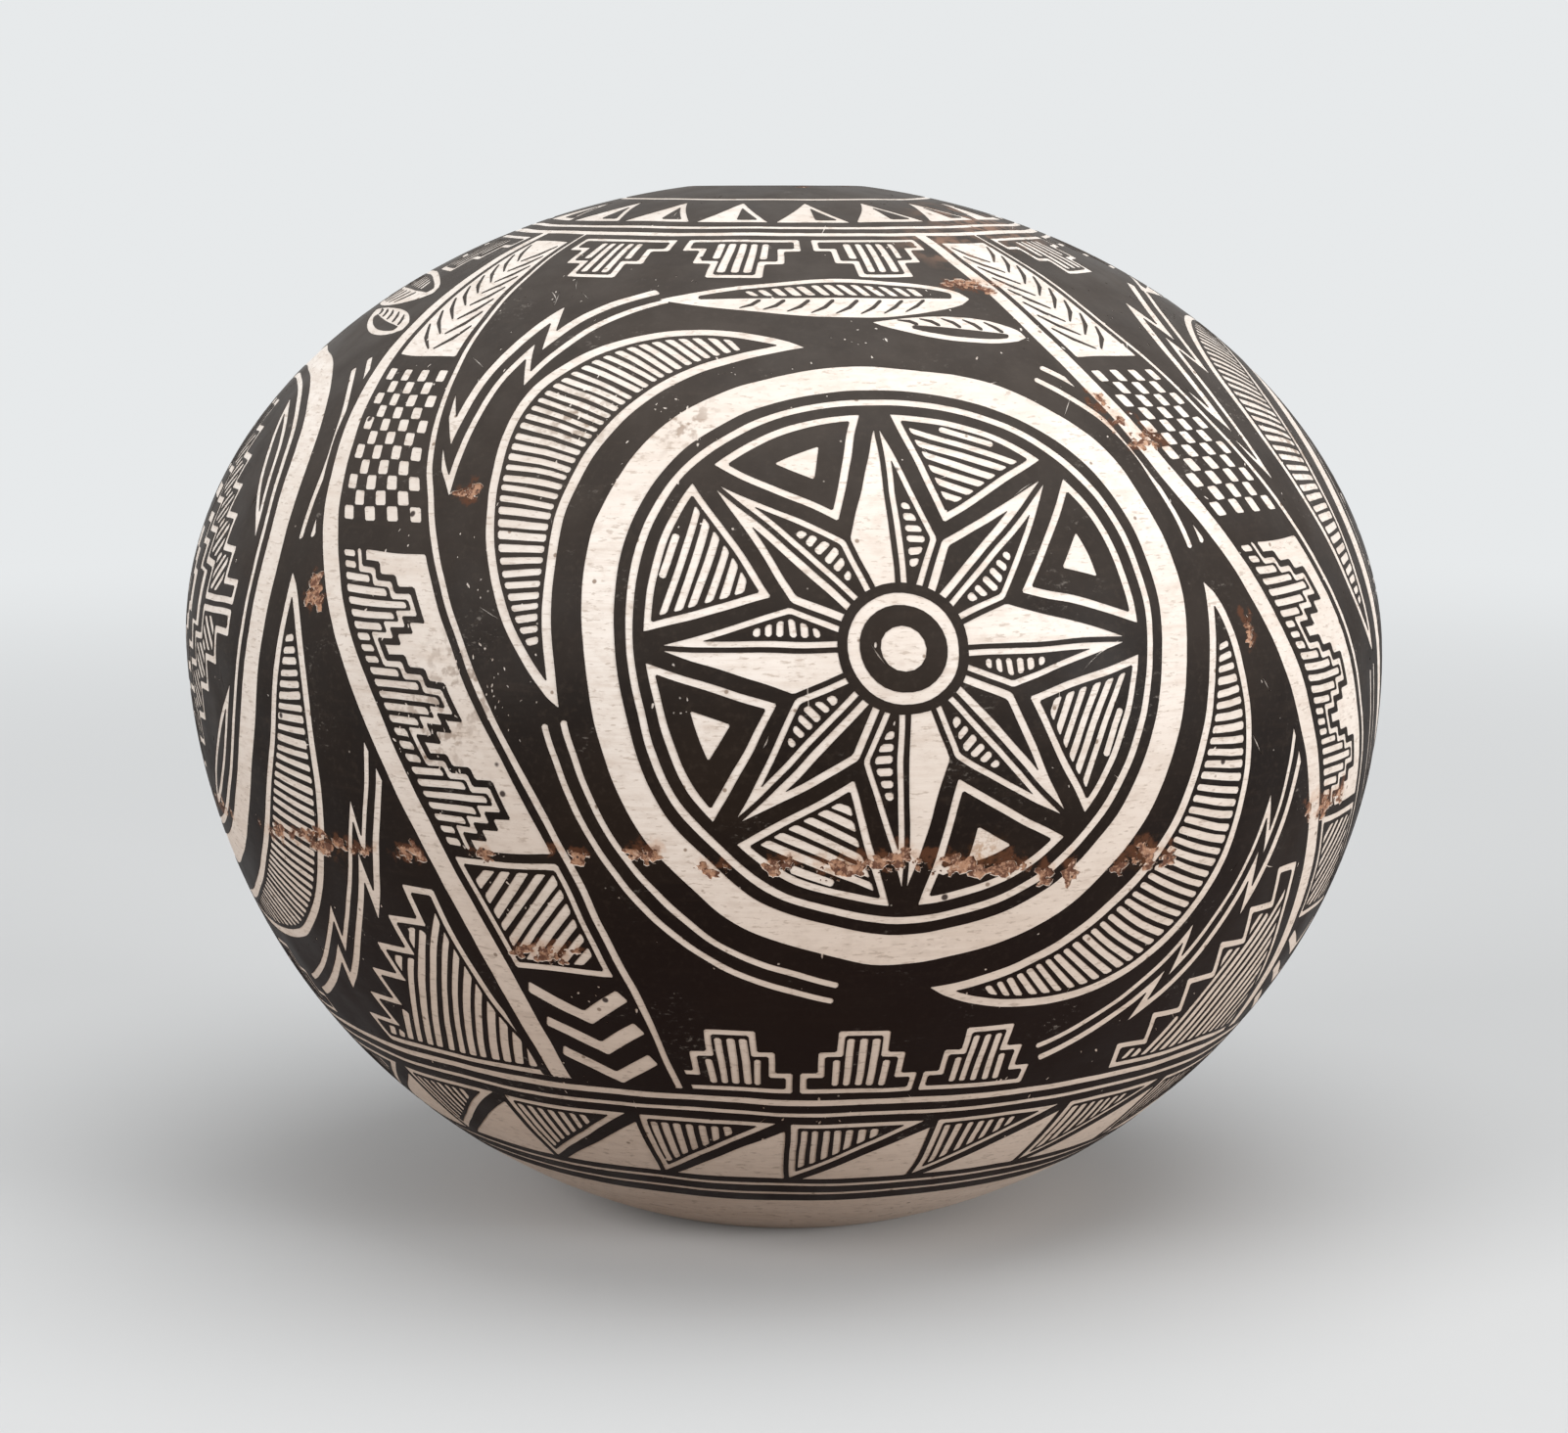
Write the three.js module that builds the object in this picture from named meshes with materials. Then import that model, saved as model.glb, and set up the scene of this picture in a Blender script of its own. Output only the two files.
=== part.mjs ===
// Coil-built seed pot: a hollow egg-shaped vessel with a small flat foot and one small round mouth.
// The potter presses a base in a shallow dish, lays ropes of clay on it one above the other, and
// closes the shoulder to a rolled lip. Each of those pieces of clay is its own solid here, and the
// lapped joints between them are the real ones, which scraping and slip hide on the finished pot.
// Millimetres, +Z up, origin on the table under the centre of the foot.
import * as THREE from "three";

// Outside shape
const bellyRadius = 70; // half the widest width
const bellyHeight = 66.5; // height of the widest line above the table
const crownRise = 52.5; // from the widest line to where the closed shoulder would end
const footRadius = 20; // flat patch that the pot rests on
const mouthRadius = 7; // clear opening through the lip
const shoulderFullness = 1.92; // exponents of the two curves: 2 is an ellipse, more is fuller
const flankFullness = 1.96;

// Wall
const floorThickness = 7;
const footWall = 7;
const bellyWall = 5;
const mouthWall = 5.4;

// Clay pieces
const coilCount = 12; // ropes between the pressed base and the lip
const baseReach = 15; // how far the pressed base runs up the wall, along the surface
const lipReach = 8; // how wide the lip piece is, along the surface
const coilLap = 3.5; // each rope sits this far down inside the one below
const coilCrown = 0.8; // the pressed edge of a rope is rounded up by this much

// Fineness of the faces
const turnSteps = 48; // round the pot
const coilSteps = 2; // up each rope
const baseSteps = 3; // up the pressed base
const lipSteps = 6; // round the lip
const curveSteps = 400; // fine points that measure the outline

// The flank below the belly is cut by the table at the foot's radius, so its own depth is a little more.
const footShare = footRadius / bellyRadius;
const flankDepth = bellyHeight / Math.pow(1 - Math.pow(footShare, flankFullness), 1 / flankFullness);
const lipRadius = mouthWall / 2;

// Rise of the shoulder over run at a radius, as a positive number.
function shoulderSlope(radius) {
  const share = radius / bellyRadius;
  const rest = 1 - Math.pow(share, shoulderFullness);
  return (crownRise / bellyRadius) * Math.pow(share, shoulderFullness - 1) * Math.pow(rest, 1 / shoulderFullness - 1);
}

// The lip is a half round as thick as the wall, leaning with the shoulder, and its inner edge is the mouth.
const lipLean = Math.sin(Math.atan(shoulderSlope(mouthRadius + lipRadius)));
const lipStart = mouthRadius + lipRadius * (1 + lipLean);

// Height of the outside at a radius, on the flank below the belly or the shoulder above it.
function flankHeight(radius) {
  const share = Math.pow(radius / bellyRadius, flankFullness);
  return bellyHeight - flankDepth * Math.pow(Math.max(0, 1 - share), 1 / flankFullness);
}

function shoulderHeight(radius) {
  const share = Math.pow(radius / bellyRadius, shoulderFullness);
  return bellyHeight + crownRise * Math.pow(Math.max(0, 1 - share), 1 / shoulderFullness);
}

// The outline from the edge of the foot, past the belly, to where the lip begins to roll in.
// Points are taken by the angle round each curve, so that they stay close together near the belly.
function outlinePoints() {
  const points = [];
  const footAngle = Math.acos(footShare);
  const lipAngle = Math.acos(lipStart / bellyRadius);
  for (let i = 0; i < curveSteps; i++) {
    const radius = bellyRadius * Math.cos(footAngle * (1 - i / curveSteps));
    points.push(new THREE.Vector2(radius, flankHeight(radius)));
  }
  for (let i = 0; i <= curveSteps; i++) {
    const radius = bellyRadius * Math.cos((lipAngle * i) / curveSteps);
    points.push(new THREE.Vector2(radius, shoulderHeight(radius)));
  }
  return points;
}

const outline = outlinePoints();
const along = [0];
for (let i = 1; i < outline.length; i++) {
  along.push(along[i - 1] + outline[i].distanceTo(outline[i - 1]));
}
const wallLength = along[along.length - 1];
const bellyAt = along[curveSteps];

// The place on the outside at a distance along the outline, and the way that faces out of the wall there.
function outsideAt(distance) {
  let i = along.findIndex((length) => length >= distance);
  i = i < 1 ? (i < 0 ? along.length - 1 : 1) : i;
  const share = (distance - along[i - 1]) / (along[i] - along[i - 1]);
  const point = outline[i - 1].clone().lerp(outline[i], share);
  const way = outline[i].clone().sub(outline[i - 1]).normalize();
  return { point, out: new THREE.Vector2(way.y, -way.x) };
}

function wallAt(distance) {
  if (distance < bellyAt) {
    return THREE.MathUtils.lerp(footWall, bellyWall, THREE.MathUtils.smoothstep(distance, 0, bellyAt));
  }
  return THREE.MathUtils.lerp(bellyWall, mouthWall, THREE.MathUtils.smoothstep(distance, bellyAt, wallLength));
}

function insideAt(distance) {
  const { point, out } = outsideAt(distance);
  return point.clone().addScaledVector(out, -wallAt(distance));
}

function stretch(from, to, steps, place) {
  const points = [];
  for (let i = 0; i <= steps; i++) {
    points.push(place(THREE.MathUtils.lerp(from, to, i / steps)));
  }
  return points;
}

const outsideRun = (from, to, steps) => stretch(from, to, steps, (distance) => outsideAt(distance).point);
const insideRun = (from, to, steps) => stretch(from, to, steps, insideAt);

// The crown of a joint, between its outer edge at a distance and its inner edge a lap lower.
function jointCrown(distance) {
  const crown = outsideAt(distance).point.lerp(insideAt(distance - coilLap), 0.5);
  const { out } = outsideAt(distance);
  return crown.add(new THREE.Vector2(-out.y, out.x).multiplyScalar(coilCrown));
}

// Turns a closed profile of radius and height into a solid ring that stands along +Z.
function turned(name, profile, colour) {
  const closed = [...profile];
  const last = closed[closed.length - 1];
  if (profile[0].x > 0 || last.x > 0) {
    closed.push(profile[0].clone());
  }
  const geometry = new THREE.LatheGeometry(closed, turnSteps);
  geometry.rotateX(Math.PI / 2);
  const material = new THREE.MeshStandardMaterial({ color: colour, roughness: 0.55, metalness: 0 });
  const mesh = new THREE.Mesh(geometry, material);
  mesh.name = name;
  return mesh;
}

// The base that was pressed in a dish: the foot, the floor and the start of the wall.
function pressedBase() {
  const profile = [
    new THREE.Vector2(0, 0),
    ...outsideRun(0, baseReach, baseSteps),
    jointCrown(baseReach),
    ...insideRun(baseReach - coilLap, 0, baseSteps),
    new THREE.Vector2(0, floorThickness),
  ];
  return turned("pressed_base", profile, 0xe6dacd);
}

// One rope of clay, from its lower joint to its upper one.
function wallCoil(number) {
  const height = (wallLength - baseReach - lipReach) / coilCount;
  const from = baseReach + (number - 1) * height;
  const to = from + height;
  const profile = [
    ...outsideRun(from, to, coilSteps),
    jointCrown(to),
    ...insideRun(to - coilLap, from - coilLap, coilSteps),
    jointCrown(from),
  ];
  return turned("wall_coil_" + String(number).padStart(2, "0"), profile, 0x2f2824);
}

// The last ring, rolled in and rounded over to make the lip of the mouth.
function mouthLip() {
  const from = wallLength - lipReach;
  const { point, out } = outsideAt(wallLength);
  const centre = point.clone().addScaledVector(out, -lipRadius);
  const inwards = new THREE.Vector2(-out.y, out.x);
  const roll = [];
  for (let i = 1; i < lipSteps; i++) {
    const angle = (Math.PI * i) / lipSteps;
    const edge = centre.clone().addScaledVector(out, lipRadius * Math.cos(angle));
    roll.push(edge.addScaledVector(inwards, lipRadius * Math.sin(angle)));
  }
  const profile = [
    ...outsideRun(from, wallLength, coilSteps),
    ...roll,
    ...insideRun(wallLength, from - coilLap, coilSteps),
    jointCrown(from),
  ];
  return turned("mouth_lip", profile, 0x2f2824);
}

const pot = new THREE.Group();
pot.add(pressedBase());
for (let number = 1; number <= coilCount; number++) {
  pot.add(wallCoil(number));
}
pot.add(mouthLip());

export default pot;
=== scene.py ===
# A coil-built seed pot, dressed round its packed clay pieces: the fired wall, the pale slip over it,
# the dark pattern painted on the slip, and the flakes and scratches of long use.
import math
import random

import bpy
import numpy as np
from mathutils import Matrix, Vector, kdtree, noise
from mathutils.geometry import delaunay_2d_cdt


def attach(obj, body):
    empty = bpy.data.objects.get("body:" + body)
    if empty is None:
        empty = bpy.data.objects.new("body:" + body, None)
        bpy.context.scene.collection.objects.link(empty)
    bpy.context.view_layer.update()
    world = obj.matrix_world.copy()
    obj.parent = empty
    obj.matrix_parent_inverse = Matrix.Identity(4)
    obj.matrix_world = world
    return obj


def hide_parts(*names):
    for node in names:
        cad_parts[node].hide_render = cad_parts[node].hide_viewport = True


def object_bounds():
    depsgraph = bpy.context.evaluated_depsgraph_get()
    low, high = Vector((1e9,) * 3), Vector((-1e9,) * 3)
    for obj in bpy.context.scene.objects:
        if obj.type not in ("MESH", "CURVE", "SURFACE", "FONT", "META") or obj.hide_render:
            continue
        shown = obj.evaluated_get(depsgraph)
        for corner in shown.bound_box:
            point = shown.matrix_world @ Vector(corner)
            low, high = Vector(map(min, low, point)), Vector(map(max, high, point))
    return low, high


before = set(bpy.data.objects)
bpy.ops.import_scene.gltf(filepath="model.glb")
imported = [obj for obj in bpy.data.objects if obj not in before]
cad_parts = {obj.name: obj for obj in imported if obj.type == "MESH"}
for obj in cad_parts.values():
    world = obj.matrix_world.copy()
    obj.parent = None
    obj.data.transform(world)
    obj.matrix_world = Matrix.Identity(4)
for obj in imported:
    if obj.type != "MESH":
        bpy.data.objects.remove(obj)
cadLow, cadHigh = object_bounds()
print("frame loaded:", round(cadHigh.x * 2000, 1), "mm wide,", round(cadHigh.z * 1000, 1), "mm high")

mm = 0.001
quarter = math.pi / 2
fullTurn = 2 * math.pi

# Sizes of the pot in millimetres, as its clay pieces have them
potShape = {
    "bellyRadius": max(cadHigh.x, cadHigh.y) / mm,
    "height": cadHigh.z / mm,
    "bellyHeight": 66.5,
    "crownRise": 52.5,
    "footRadius": 20.0,
    "mouthRadius": 7.0,
    "lipThickness": 5.4,
    "shoulderFullness": 1.92,
    "flankFullness": 1.96,
}

# What the potter's hands left: the mouth stands a little to one side, and the wall sinks in shallow hollows
handBuilt = {
    "lean": (-1.5, 0.4),
    "leanFrom": 0.28,  # share of the height where the lean begins
    # middle of each hollow, how far it spreads, and its depth
    "hollows": [
        (58, -20, 94, 32, 0.75),
        (-69, -8, 62, 26, 0.45),
        (69, -8, 66, 26, 0.3),
        (22, 64, 84, 34, 0.5),
        (-36, 52, 44, 28, 0.45),
        (6, -64, 46, 22, 0.2),
        (-40, -34, 96, 24, 0.5),
    ],
}
outlineSteps = {"lip": 40, "curve": 500}  # points round the lip, and down the shoulder or the flank


def smooth(share):
    # A share from 0 to 1 with a soft start and end
    return share * share * (3 - 2 * share)


def shoulderHeight(radius):
    share = np.power(radius / potShape["bellyRadius"], potShape["shoulderFullness"])
    rise = np.power(np.maximum(0, 1 - share), 1 / potShape["shoulderFullness"])
    return potShape["bellyHeight"] + potShape["crownRise"] * rise


def flankHeight(radius):
    fullness = potShape["flankFullness"]
    footShare = potShape["footRadius"] / potShape["bellyRadius"]
    depth = potShape["bellyHeight"] / (1 - footShare**fullness) ** (1 / fullness)
    share = np.power(radius / potShape["bellyRadius"], fullness)
    return potShape["bellyHeight"] - depth * np.power(np.maximum(0, 1 - share), 1 / fullness)


def traceOutline():
    # Radius and height down the outside, from the inner edge of the lip to the edge of the foot.
    # Distance is 0 where the shoulder starts to roll into the lip.
    belly = potShape["bellyRadius"]
    roll = potShape["lipThickness"] / 2
    near = potShape["mouthRadius"] + roll
    slight = 0.01
    lean = math.atan(float(shoulderHeight(near) - shoulderHeight(near + slight)) / slight)
    start = near + roll * math.sin(lean)
    out = np.array([math.sin(lean), math.cos(lean)])
    inward = np.array([-math.cos(lean), math.sin(lean)])
    middle = np.array([start, float(shoulderHeight(start))]) - out * roll
    turns = np.linspace(math.pi, 0, outlineSteps["lip"], endpoint=False)[:, None]
    lip = middle + roll * (out * np.cos(turns) + inward * np.sin(turns))
    angles = np.linspace(math.acos(start / belly), 0, outlineSteps["curve"], endpoint=False)
    shoulder = np.column_stack([belly * np.cos(angles), shoulderHeight(belly * np.cos(angles))])
    angles = np.linspace(0, math.acos(potShape["footRadius"] / belly), outlineSteps["curve"])
    flank = np.column_stack([belly * np.cos(angles), flankHeight(belly * np.cos(angles))])
    line = np.vstack([lip, shoulder, flank])
    steps = np.hypot(*np.diff(line, axis=0).T)
    distance = np.concatenate([[0], np.cumsum(steps)])
    return distance - distance[len(lip)], line


outlineDistance, outlineLine = traceOutline()
outlineWay = np.gradient(outlineLine, axis=0)
outlineWay /= np.linalg.norm(outlineWay, axis=1)[:, None]
outlineOut = np.column_stack([-outlineWay[:, 1], outlineWay[:, 0]])
footDistance = outlineDistance[-1]
lipInnerDistance = outlineDistance[0]


def radiusAt(distance):
    return np.interp(distance, outlineDistance, outlineLine[:, 0])


def heightAt(distance):
    return np.interp(distance, outlineDistance, outlineLine[:, 1])


def handShaped(points):
    # Moves points of a perfectly round pot to where they lie on the hand-built one
    x, y, z = points.T
    start = handBuilt["leanFrom"]
    rise = np.clip((z / potShape["height"] - start) / (1 - start), 0, 1)
    ease = smooth(rise)
    sink = 0.0
    for a, b, c, reach, depth in handBuilt["hollows"]:
        sink = sink + depth * np.exp(-((x - a) ** 2 + (y - b) ** 2 + (z - c) ** 2) / reach**2)
    grow = 1 - sink / potShape["bellyRadius"]
    right, back = handBuilt["lean"]
    return np.column_stack([x * grow + right * ease, y * grow + back * ease, z])


def offWall(distance, lift):
    # Radius and height of points that stand proud of the round wall, or lie inside it
    outRadius, outHeight = [np.interp(distance, outlineDistance, outlineOut[:, i]) for i in (0, 1)]
    return radiusAt(distance) + lift * outRadius, heightAt(distance) + lift * outHeight


def onPot(angle, distance, lift=0.0):
    # Points in millimetres: angle 0 faces the camera, distance runs down from the lip, lift stands proud
    radius, height = offWall(distance, lift)
    return handShaped(np.column_stack([radius * np.sin(angle), -radius * np.cos(angle), height]))


def facingOut(angle, distance):
    # The way that faces straight out of the hand-built wall
    turn, slight = 0.001, 0.05  # radians and millimetres to either side
    ahead = onPot(angle + turn, distance) - onPot(angle - turn, distance)
    down = onPot(angle, distance + slight) - onPot(angle, distance - slight)
    out = np.cross(down, ahead)
    return out / np.linalg.norm(out, axis=1)[:, None]


# The drawing plane looks straight down on the mouth, and is stretched so that every angle on the pot stays
# true. Its middle is the mouth, and the foot is its far rim.
planeSteps = np.diff(outlineDistance) / ((outlineLine[1:, 0] + outlineLine[:-1, 0]) / 2)
planeRadius = np.exp(np.concatenate([[0], np.cumsum(planeSteps)]))


def toPlane(angle, distance):
    reach = np.interp(distance, outlineDistance, planeRadius)
    return np.column_stack([reach * np.cos(angle), reach * np.sin(angle)])


def fromPlane(points):
    reach = np.hypot(points[:, 0], points[:, 1])
    return np.arctan2(points[:, 1], points[:, 0]), np.interp(reach, planeRadius, outlineDistance)


# Painting: every shape is a closed outline in one tone, and later shapes lie over earlier ones
slipTone, paintTone, clayTone, sameTone = 0, 1, 2, 3
drawing = {
    "step": 0.95,  # longest piece of an outline, in millimetres
    "slotStep": 2.0,
    "blunt": 0.2,  # how far a brush cuts sharp corners back
    "bluntShare": 0.35,  # the most of a side that this may take
    "smoothTurn": 0.88,  # a corner stays as it is where the cosine of its turn is more
    "mitre": 0.3,  # keeps the sharp corners of an offset line short
    "pitch": 1.26,  # from one hatching line to the next
    "slot": 0.78,  # pale gap between two hatching lines
    "slotVaries": (0.88, 1.12),  # least and most of that width
    "drift": 0.05,  # how far a slot strays and tilts, as a share of the pitch
    "margin": 0.42,  # dark edge round a hatched field
    "mostSlant": 2.5,  # the margin grows on slanting sides, up to this many times
    "jump": 5,  # slot ends further apart than so many half slots lie on a step, not on a slanting side
    "shortSlot": 0.85,  # shorter gaps are left dark
    "fineLine": 0.8,
    "taperParts": 3,  # a stroke narrows over one of so many parts at either end
    "fewestCorners": 24,  # of a line right round the pot
    "seed": 11,
}
tiny = 1e-6  # lengths under this count as none
dice = random.Random(drawing["seed"])
noise.seed_set(drawing["seed"])  # without this the noise is another one at each start
shapes = []


def strayed(reach):
    # A chance distance to either side
    return dice.uniform(-reach, reach)


def sidesOf(corners):
    # The sides of a closed outline, each as its two ends
    return zip(corners, corners[1:] + corners[:1])


def blunted(corners):
    # Sharp corners cut back a little, as a loaded brush leaves them
    points = []
    for i, (x, y) in enumerate(corners):
        px, py = corners[i - 1]
        nx, ny = corners[(i + 1) % len(corners)]
        before, after = math.hypot(x - px, y - py), math.hypot(nx - x, ny - y)
        if min(before, after) < tiny:
            continue
        if ((x - px) * (nx - x) + (y - py) * (ny - y)) / (before * after) > drawing["smoothTurn"]:
            points.append((x, y))
            continue
        for qx, qy, length in ((px, py, before), (nx, ny, after)):
            share = min(drawing["bluntShare"], drawing["blunt"] / length)
            points.append((x + (qx - x) * share, y + (qy - y) * share))
    return points


def closer(corners, step):
    # The same closed outline with points no further apart than a step
    points = []
    for (ax, ay), (bx, by) in sidesOf(corners):
        count = max(1, math.ceil(math.hypot(bx - ax, by - ay) / step))
        points += [(ax + (bx - ax) * i / count, ay + (by - ay) * i / count) for i in range(count)]
    return points


def paint(place, corners, tone, step=drawing["step"]):
    x, y = np.array(closer(blunted(corners), step)).T
    angle, distance = place(x, y)
    shapes.append((np.column_stack([angle, distance]), tone))


def panelPlace(centreAngle, centreDistance):
    # Millimetres to the right of and above a point of the wall
    def place(x, y):
        distance = centreDistance - y
        return centreAngle + x / radiusAt(distance), distance

    return place


def arcPlace(panel, reference):
    # Millimetres round a panel's centre on a circle of the reference radius, and millimetres out from it
    def place(x, y):
        return panel(y * np.cos(x / reference), y * np.sin(x / reference))

    return place


def aroundPlace(reference, startAngle=0.0):
    # Millimetres round the pot, as measured at the reference distance, and distance down from the lip
    def place(x, y):
        return startAngle + x / radiusAt(reference), y

    return place


def turnedPoints(points, origin, turn):
    c, s = math.cos(turn), math.sin(turn)
    return [(origin[0] + x * c - y * s, origin[1] + x * s + y * c) for x, y in points]


def polar(radius, turn):
    return radius * math.cos(turn), radius * math.sin(turn)


def arcPoints(radius, start, end):
    count = max(3, math.ceil(abs(end - start) * radius / drawing["step"]))
    return [polar(radius, start + (end - start) * i / count) for i in range(count + 1)]


def circlePoints(radius):
    return arcPoints(radius, 0.0, fullTurn)[:-1]


def offsetPath(path, widths):
    # A line beside a path, with mitred corners
    moved = []
    for i, (x, y) in enumerate(path):
        ways = []
        around = path[max(i - 1, 0)], (x, y), path[min(i + 1, len(path) - 1)]
        for (ax, ay), (bx, by) in zip(around, around[1:]):
            length = math.hypot(bx - ax, by - ay)
            if length > tiny:
                ways.append((-(by - ay) / length, (bx - ax) / length))
        nx, ny = sum(w[0] for w in ways), sum(w[1] for w in ways)
        reach = widths[i]
        if len(ways) > 1:
            reach = reach * len(ways) / max(nx * nx + ny * ny, drawing["mitre"])
        moved.append((x + nx * reach, y + ny * reach))
    return moved


def beside(path, shift):
    return offsetPath(path, [shift] * len(path))


def stroke(place, path, width, tone=slipTone, taper=(1.0, 1.0)):
    # A painted line along a path, whose ends may be thinner than its middle
    last = max(len(path) - 1, 1)
    start, end = taper
    widths = []
    for i in range(len(path)):
        share = i / last
        thin = start + (1 - start) * min(1, share * drawing["taperParts"])
        thin *= end + (1 - end) * min(1, (1 - share) * drawing["taperParts"])
        widths.append(width / 2 * thin)
    paint(place, offsetPath(path, widths) + offsetPath(path, [-w for w in widths])[::-1], tone)


def signedArea(shape):
    return sum(ax * by - bx * ay for (ax, ay), (bx, by) in sidesOf(shape)) / 2


def anticlockwise(shape):
    return list(shape) if signedArea(shape) > 0 else list(shape)[::-1]


def clipped(shape, point, inward):
    # The part of a convex shape on the inner side of a line
    kept = []
    for (ax, ay), (bx, by) in sidesOf(shape):
        a = (ax - point[0]) * inward[0] + (ay - point[1]) * inward[1]
        b = (bx - point[0]) * inward[0] + (by - point[1]) * inward[1]
        if a >= 0:
            kept.append((ax, ay))
        if a * b < 0:
            share = a / (a - b)
            kept.append((ax + (bx - ax) * share, ay + (by - ay) * share))
    return kept


def inset(shape, margin):
    # A convex shape drawn in by a margin along every side
    shape = anticlockwise(shape)
    result = shape
    for (ax, ay), (bx, by) in sidesOf(shape):
        length = math.hypot(bx - ax, by - ay)
        if length > tiny and len(result) > 2:
            inward = (-(by - ay) / length, (bx - ax) / length)
            result = clipped(result, (ax + inward[0] * margin, ay + inward[1] * margin), inward)
    return result


def drawnIn(shape, margin):
    # Any closed outline drawn in by the same margin, corner by corner
    shape = anticlockwise(shape)
    moved = []
    for i, (x, y) in enumerate(shape):
        px, py = shape[i - 1]
        nx, ny = shape[(i + 1) % len(shape)]
        before, after = math.hypot(x - px, y - py), math.hypot(nx - x, ny - y)
        ax, ay = -(y - py) / before, (x - px) / before
        bx, by = -(ny - y) / after, (nx - x) / after
        reach = margin / max(1 + ax * bx + ay * by, drawing["mitre"])
        moved.append((x + (ax + bx) * reach, y + (ay + by) * reach))
    return moved


def crossings(field, level, margin):
    # Where a level line runs inside a field, kept a margin away from the sides that it meets
    found = []
    for (ax, ay), (bx, by) in sidesOf(field):
        if (ay > level) != (by > level):
            slant = min(drawing["mostSlant"], math.hypot(bx - ax, by - ay) / abs(by - ay))
            found.append((ax + (bx - ax) * (level - ay) / (by - ay), margin * slant))
    found.sort()
    return [(a + toA, b - toB) for (a, toA), (b, toB) in zip(found[::2], found[1::2])]


def slotBetween(under, over, half, shortest):
    # One pale slot for each stretch that lies inside a field at both edges of the slot
    jump = drawing["jump"] * half
    for a, b in under:
        for c, d in over:
            low, high = max(a, c), min(b, d)
            if high - low < shortest:
                continue
            if abs(a - c) > jump:
                a = c = low
            if abs(b - d) > jump:
                b = d = high
            yield a, b, c, d


def hatch(place, field, turn, pitch=drawing["pitch"], margin=drawing["margin"],
          shortest=drawing["shortSlot"]):
    # The pale slots between the painted lines of a hatched field; their ends run along its sides
    slot = drawing["slot"] * pitch / drawing["pitch"]
    level = turnedPoints(field, (0, 0), -turn)
    low = min(y for _, y in level) + margin + slot / 2
    high = max(y for _, y in level) - margin - slot / 2
    if high < low:
        return
    count = round((high - low) / pitch) + 1
    for i in range(count):
        half = slot / 2 * dice.uniform(*drawing["slotVaries"])
        middle = (low + high) / 2 + (i - (count - 1) / 2) * pitch + pitch * strayed(drawing["drift"])
        under, over = crossings(level, middle - half, margin), crossings(level, middle + half, margin)
        for a, b, c, d in slotBetween(under, over, half, shortest):
            tilt = pitch * strayed(drawing["drift"])
            lower, upper = middle - half, middle + half
            bar = [(a, lower - tilt), (b, lower + tilt), (d, upper + tilt), (c, upper - tilt)]
            paint(place, turnedPoints(bar, (0, 0), turn), slipTone, drawing["slotStep"])


def hatchedField(place, field, turn, line, drawIn=drawnIn, **spacing):
    # A hatched field inside a pale outline
    inner = drawIn(field, line)
    paint(place, field, slipTone)
    if len(inner) > 2:
        paint(place, inner, paintTone)
        hatch(place, inner, turn, **spacing)


leaf = {
    "step": 1.1,
    "fewestSteps": 8,
    "widest": 0.75,  # under 1 the leaf is widest before its middle
    "fullness": 0.8,
    "spare": 0.45,  # the narrow ends of the hatched half stay pale
    "lean": math.radians(56),
    "margin": 0.36,
    "veinsFrom": 0.16,  # shares of the length
    "veinsTo": 0.74,
    "veinPitch": 2.5,
    "vein": [(0.0, 0.12), (1.0, 0.5), (2.4, 0.8)],  # millimetres ahead, and share of the way to the edge
    "veinWidth": 0.4,
    "veinTaper": (1.0, 0.3),
}


def blade(place, origin, turn, length, width, bend, side):
    # A leaf split along its spine: one half pale with brushed veins, the other hatched
    count = max(leaf["fewestSteps"], round(length / leaf["step"]))
    line = drawing["fineLine"]

    def halfWidth(t):
        return width / 2 * math.sin(math.pi * t ** leaf["widest"]) ** leaf["fullness"] if 0 < t < 1 else 0.0

    def onLeaf(t, across):
        # 0 across is the spine, 1 and -1 are the two edges
        return length * t, bend * t * t + side * across * halfWidth(t)

    shares = [i / count for i in range(count + 1)]
    outline = [onLeaf(t, 1) for t in shares] + [onLeaf(t, -1) for t in shares[-2:0:-1]]
    paint(place, turnedPoints(outline, origin, turn), slipTone)
    wide = [t for t in shares if halfWidth(t) > line + leaf["spare"]]
    half = [onLeaf(t, 0) for t in wide] + [onLeaf(t, line / halfWidth(t) - 1) for t in wide[::-1]]
    half = turnedPoints(half, origin, turn)
    paint(place, half, paintTone)
    hatch(place, half, turn - side * leaf["lean"], margin=leaf["margin"])
    for t in np.arange(leaf["veinsFrom"], leaf["veinsTo"], leaf["veinPitch"] / length):
        vein = [onLeaf(t + ahead / length, across) for ahead, across in leaf["vein"]]
        stroke(place, turnedPoints(vein, origin, turn), leaf["veinWidth"], paintTone, leaf["veinTaper"])


def disc(distance, tone):
    # Everything between the mouth and a distance from the lip
    count = max(drawing["fewestCorners"], round(fullTurn * float(radiusAt(distance)) / drawing["step"]))
    angles = np.linspace(0, fullTurn, count, endpoint=False)
    shapes.append((np.column_stack([angles, np.full(count, distance)]), tone))


def linesRound(edge, lines):
    # Pale lines right round the pot, measured down from an edge; each is followed by paint over all above it
    for near, far in lines:
        disc(edge + far, slipTone)
        disc(edge + near, paintTone)


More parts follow.
